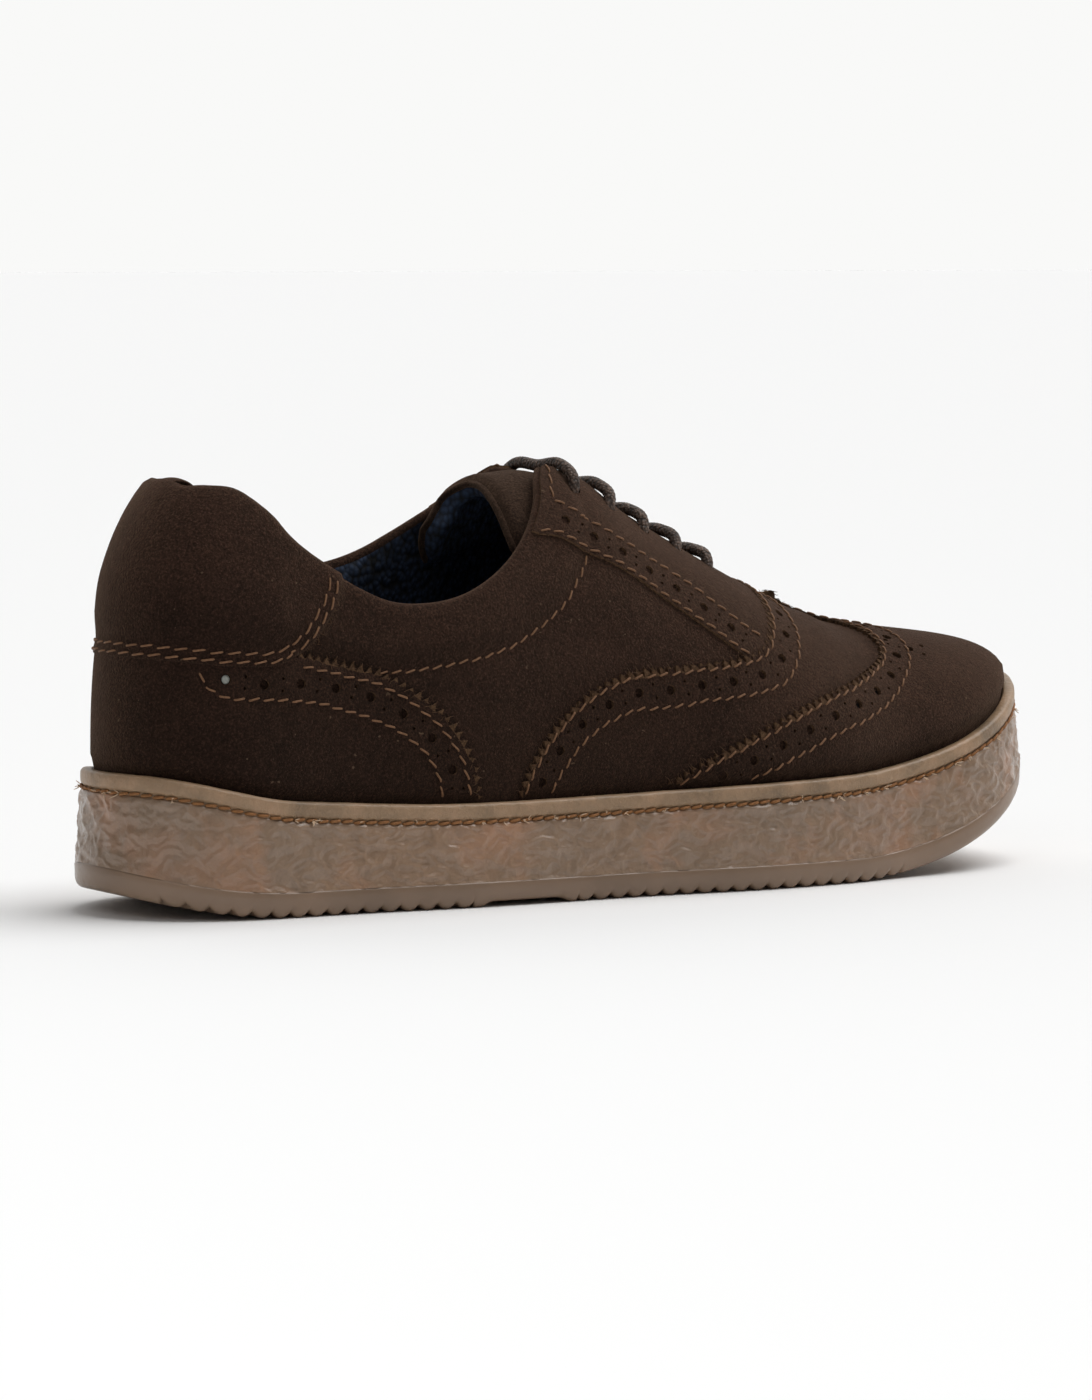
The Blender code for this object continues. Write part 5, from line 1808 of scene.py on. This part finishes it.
def make_stage():
    back = np.array([
        math.sin(CAMERA_AZIMUTH) * math.cos(CAMERA_HEIGHT),
        -math.cos(CAMERA_AZIMUTH) * math.cos(CAMERA_HEIGHT),
        math.sin(CAMERA_HEIGHT),
    ])
    right = np.array([math.cos(CAMERA_AZIMUTH), math.sin(CAMERA_AZIMUTH), 0])
    up = np.cross(back, right)
    data = bpy.data.cameras.new("camera")
    data.lens = CAMERA_LENS
    data.sensor_width = 36
    data.sensor_fit = "AUTO"
    data.clip_start = 0.05
    camera = bpy.data.objects.new("camera", data)
    bpy.context.scene.collection.objects.link(camera)
    place = CAMERA_TARGET + SHIFT + back * CAMERA_DISTANCE
    turn = np.stack([right, up, back], axis=1)
    matrix = Matrix(turn.tolist()).to_4x4()
    matrix.translation = Vector(place.tolist())
    camera.matrix_world = matrix
    bpy.context.scene.camera = camera

    floor = bpy.data.meshes.new("floor")
    reach = 40.0
    corners = [(-reach, -reach, 0), (reach, -reach, 0), (reach, reach, 0), (-reach, reach, 0)]
    floor.from_pydata(corners, [], [(0, 1, 2, 3)])
    n = Nodes("pale_floor", (FLOOR_TONE,) * 3, 1.0)
    n.set(specular_ior_level=0.0)
    floor.materials.append(n.material)
    stage = bpy.data.objects.new("floor", floor)
    bpy.context.scene.collection.objects.link(stage)

    world = bpy.data.worlds.new("studio")
    world.use_nodes = True
    tree = world.node_tree
    facing = tree.nodes.new("ShaderNodeVectorMath")
    facing.operation = "DOT_PRODUCT"
    facing.inputs[1].default_value = (-back).tolist()
    tree.links.new(tree.nodes.new("ShaderNodeTexCoord").outputs["Generated"], facing.inputs[0])
    shade = tree.nodes.new("ShaderNodeMapRange")
    shade.interpolation_type = "SMOOTHSTEP"
    limits = {"From Min": -0.2, "From Max": 0.8, "To Min": FRONT_WORLD, "To Max": BACK_WORLD}
    for name, value in limits.items():
        shade.inputs[name].default_value = value
    tree.links.new(facing.outputs["Value"], shade.inputs["Value"])
    tree.links.new(shade.outputs["Result"], tree.nodes["Background"].inputs["Strength"])
    tree.nodes["Background"].inputs["Color"].default_value = (1.0, 1.0, 0.99, 1)
    bpy.context.scene.world = world
    sun = bpy.data.lights.new("soft_top_light", "SUN")
    sun.energy = SUN_POWER
    sun.angle = math.radians(SUN_SPREAD)
    above = bpy.data.objects.new("soft_top_light", sun)
    above.rotation_euler = Vector(SUN_FROM).to_track_quat("Z", "Y").to_euler()
    bpy.context.scene.collection.objects.link(above)
    for name, where, size, power in LAMPS:
        lamp = bpy.data.lights.new(name, "AREA")
        lamp.energy = power
        lamp.shape = "RECTANGLE"
        lamp.size, lamp.size_y = size
        thing = bpy.data.objects.new(name, lamp)
        thing.location = where
        thing.rotation_euler = (Vector((0, 0, 0.05)) - Vector(where)).to_track_quat("-Z", "Y").to_euler()
        bpy.context.scene.collection.objects.link(thing)
    bpy.context.scene.view_settings.view_transform = "Standard"
    bpy.context.scene.view_settings.look = "None"


FLOOR_TONE = 0.90
FRONT_WORLD = 0.14
BACK_WORLD = 0.947
SUN_POWER = 2.3
SUN_SPREAD = 50
SUN_FROM = (0.42, -0.12, 1.0)
LAMPS = (
    # name, place, size, watts
    ("left_softbox", (-1.10, -0.90, 1.10), (0.7, 0.7), 2.0),
)

SUEDE = suede("brown_suede", (0.0140, 0.0064, 0.0042), (0.041, 0.0202, 0.0135))
SUEDE_DARK = suede("tongue_suede", (0.015, 0.0080, 0.0052), (0.040, 0.023, 0.0155))
EDGE_FINISH = raw_edge()
# Near-black painted shadow for the floors of the perforations.
HOLE_DARK = Nodes("hole_shadow", (0.0025, 0.0018, 0.0015), 1.0).material
FIBRE = thread("suede_fibre", (0.045, 0.022, 0.011), (0.15, 0.080, 0.042))
PLUG = thread("pale_stud", (0.20, 0.21, 0.19), (0.32, 0.33, 0.30))
THREAD = thread("tan_thread", (0.105, 0.051, 0.026), (0.29, 0.155, 0.085))
SOLE_THREAD = thread("orange_thread", (0.15, 0.064, 0.024), (0.38, 0.180, 0.072))
PALE_THREAD = thread("pale_thread_ends", (0.50, 0.34, 0.21), (0.75, 0.58, 0.42))
LINING = knit()
LACE = lace_cloth()
CREPE = crepe()
LIP_FINISH = lip_rubber()
BAND = band_rubber()
FOOTBED = footbed()

make_stage()
make_quarter()
make_sheets()
make_heel_tab()
make_tongue_piece()
lace_mesh()
make_cup_pieces()
make_outsole_piece()
make_sole_stitches()
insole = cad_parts["insole"]
insole.data.materials.clear()
insole.data.materials.append(FOOTBED)
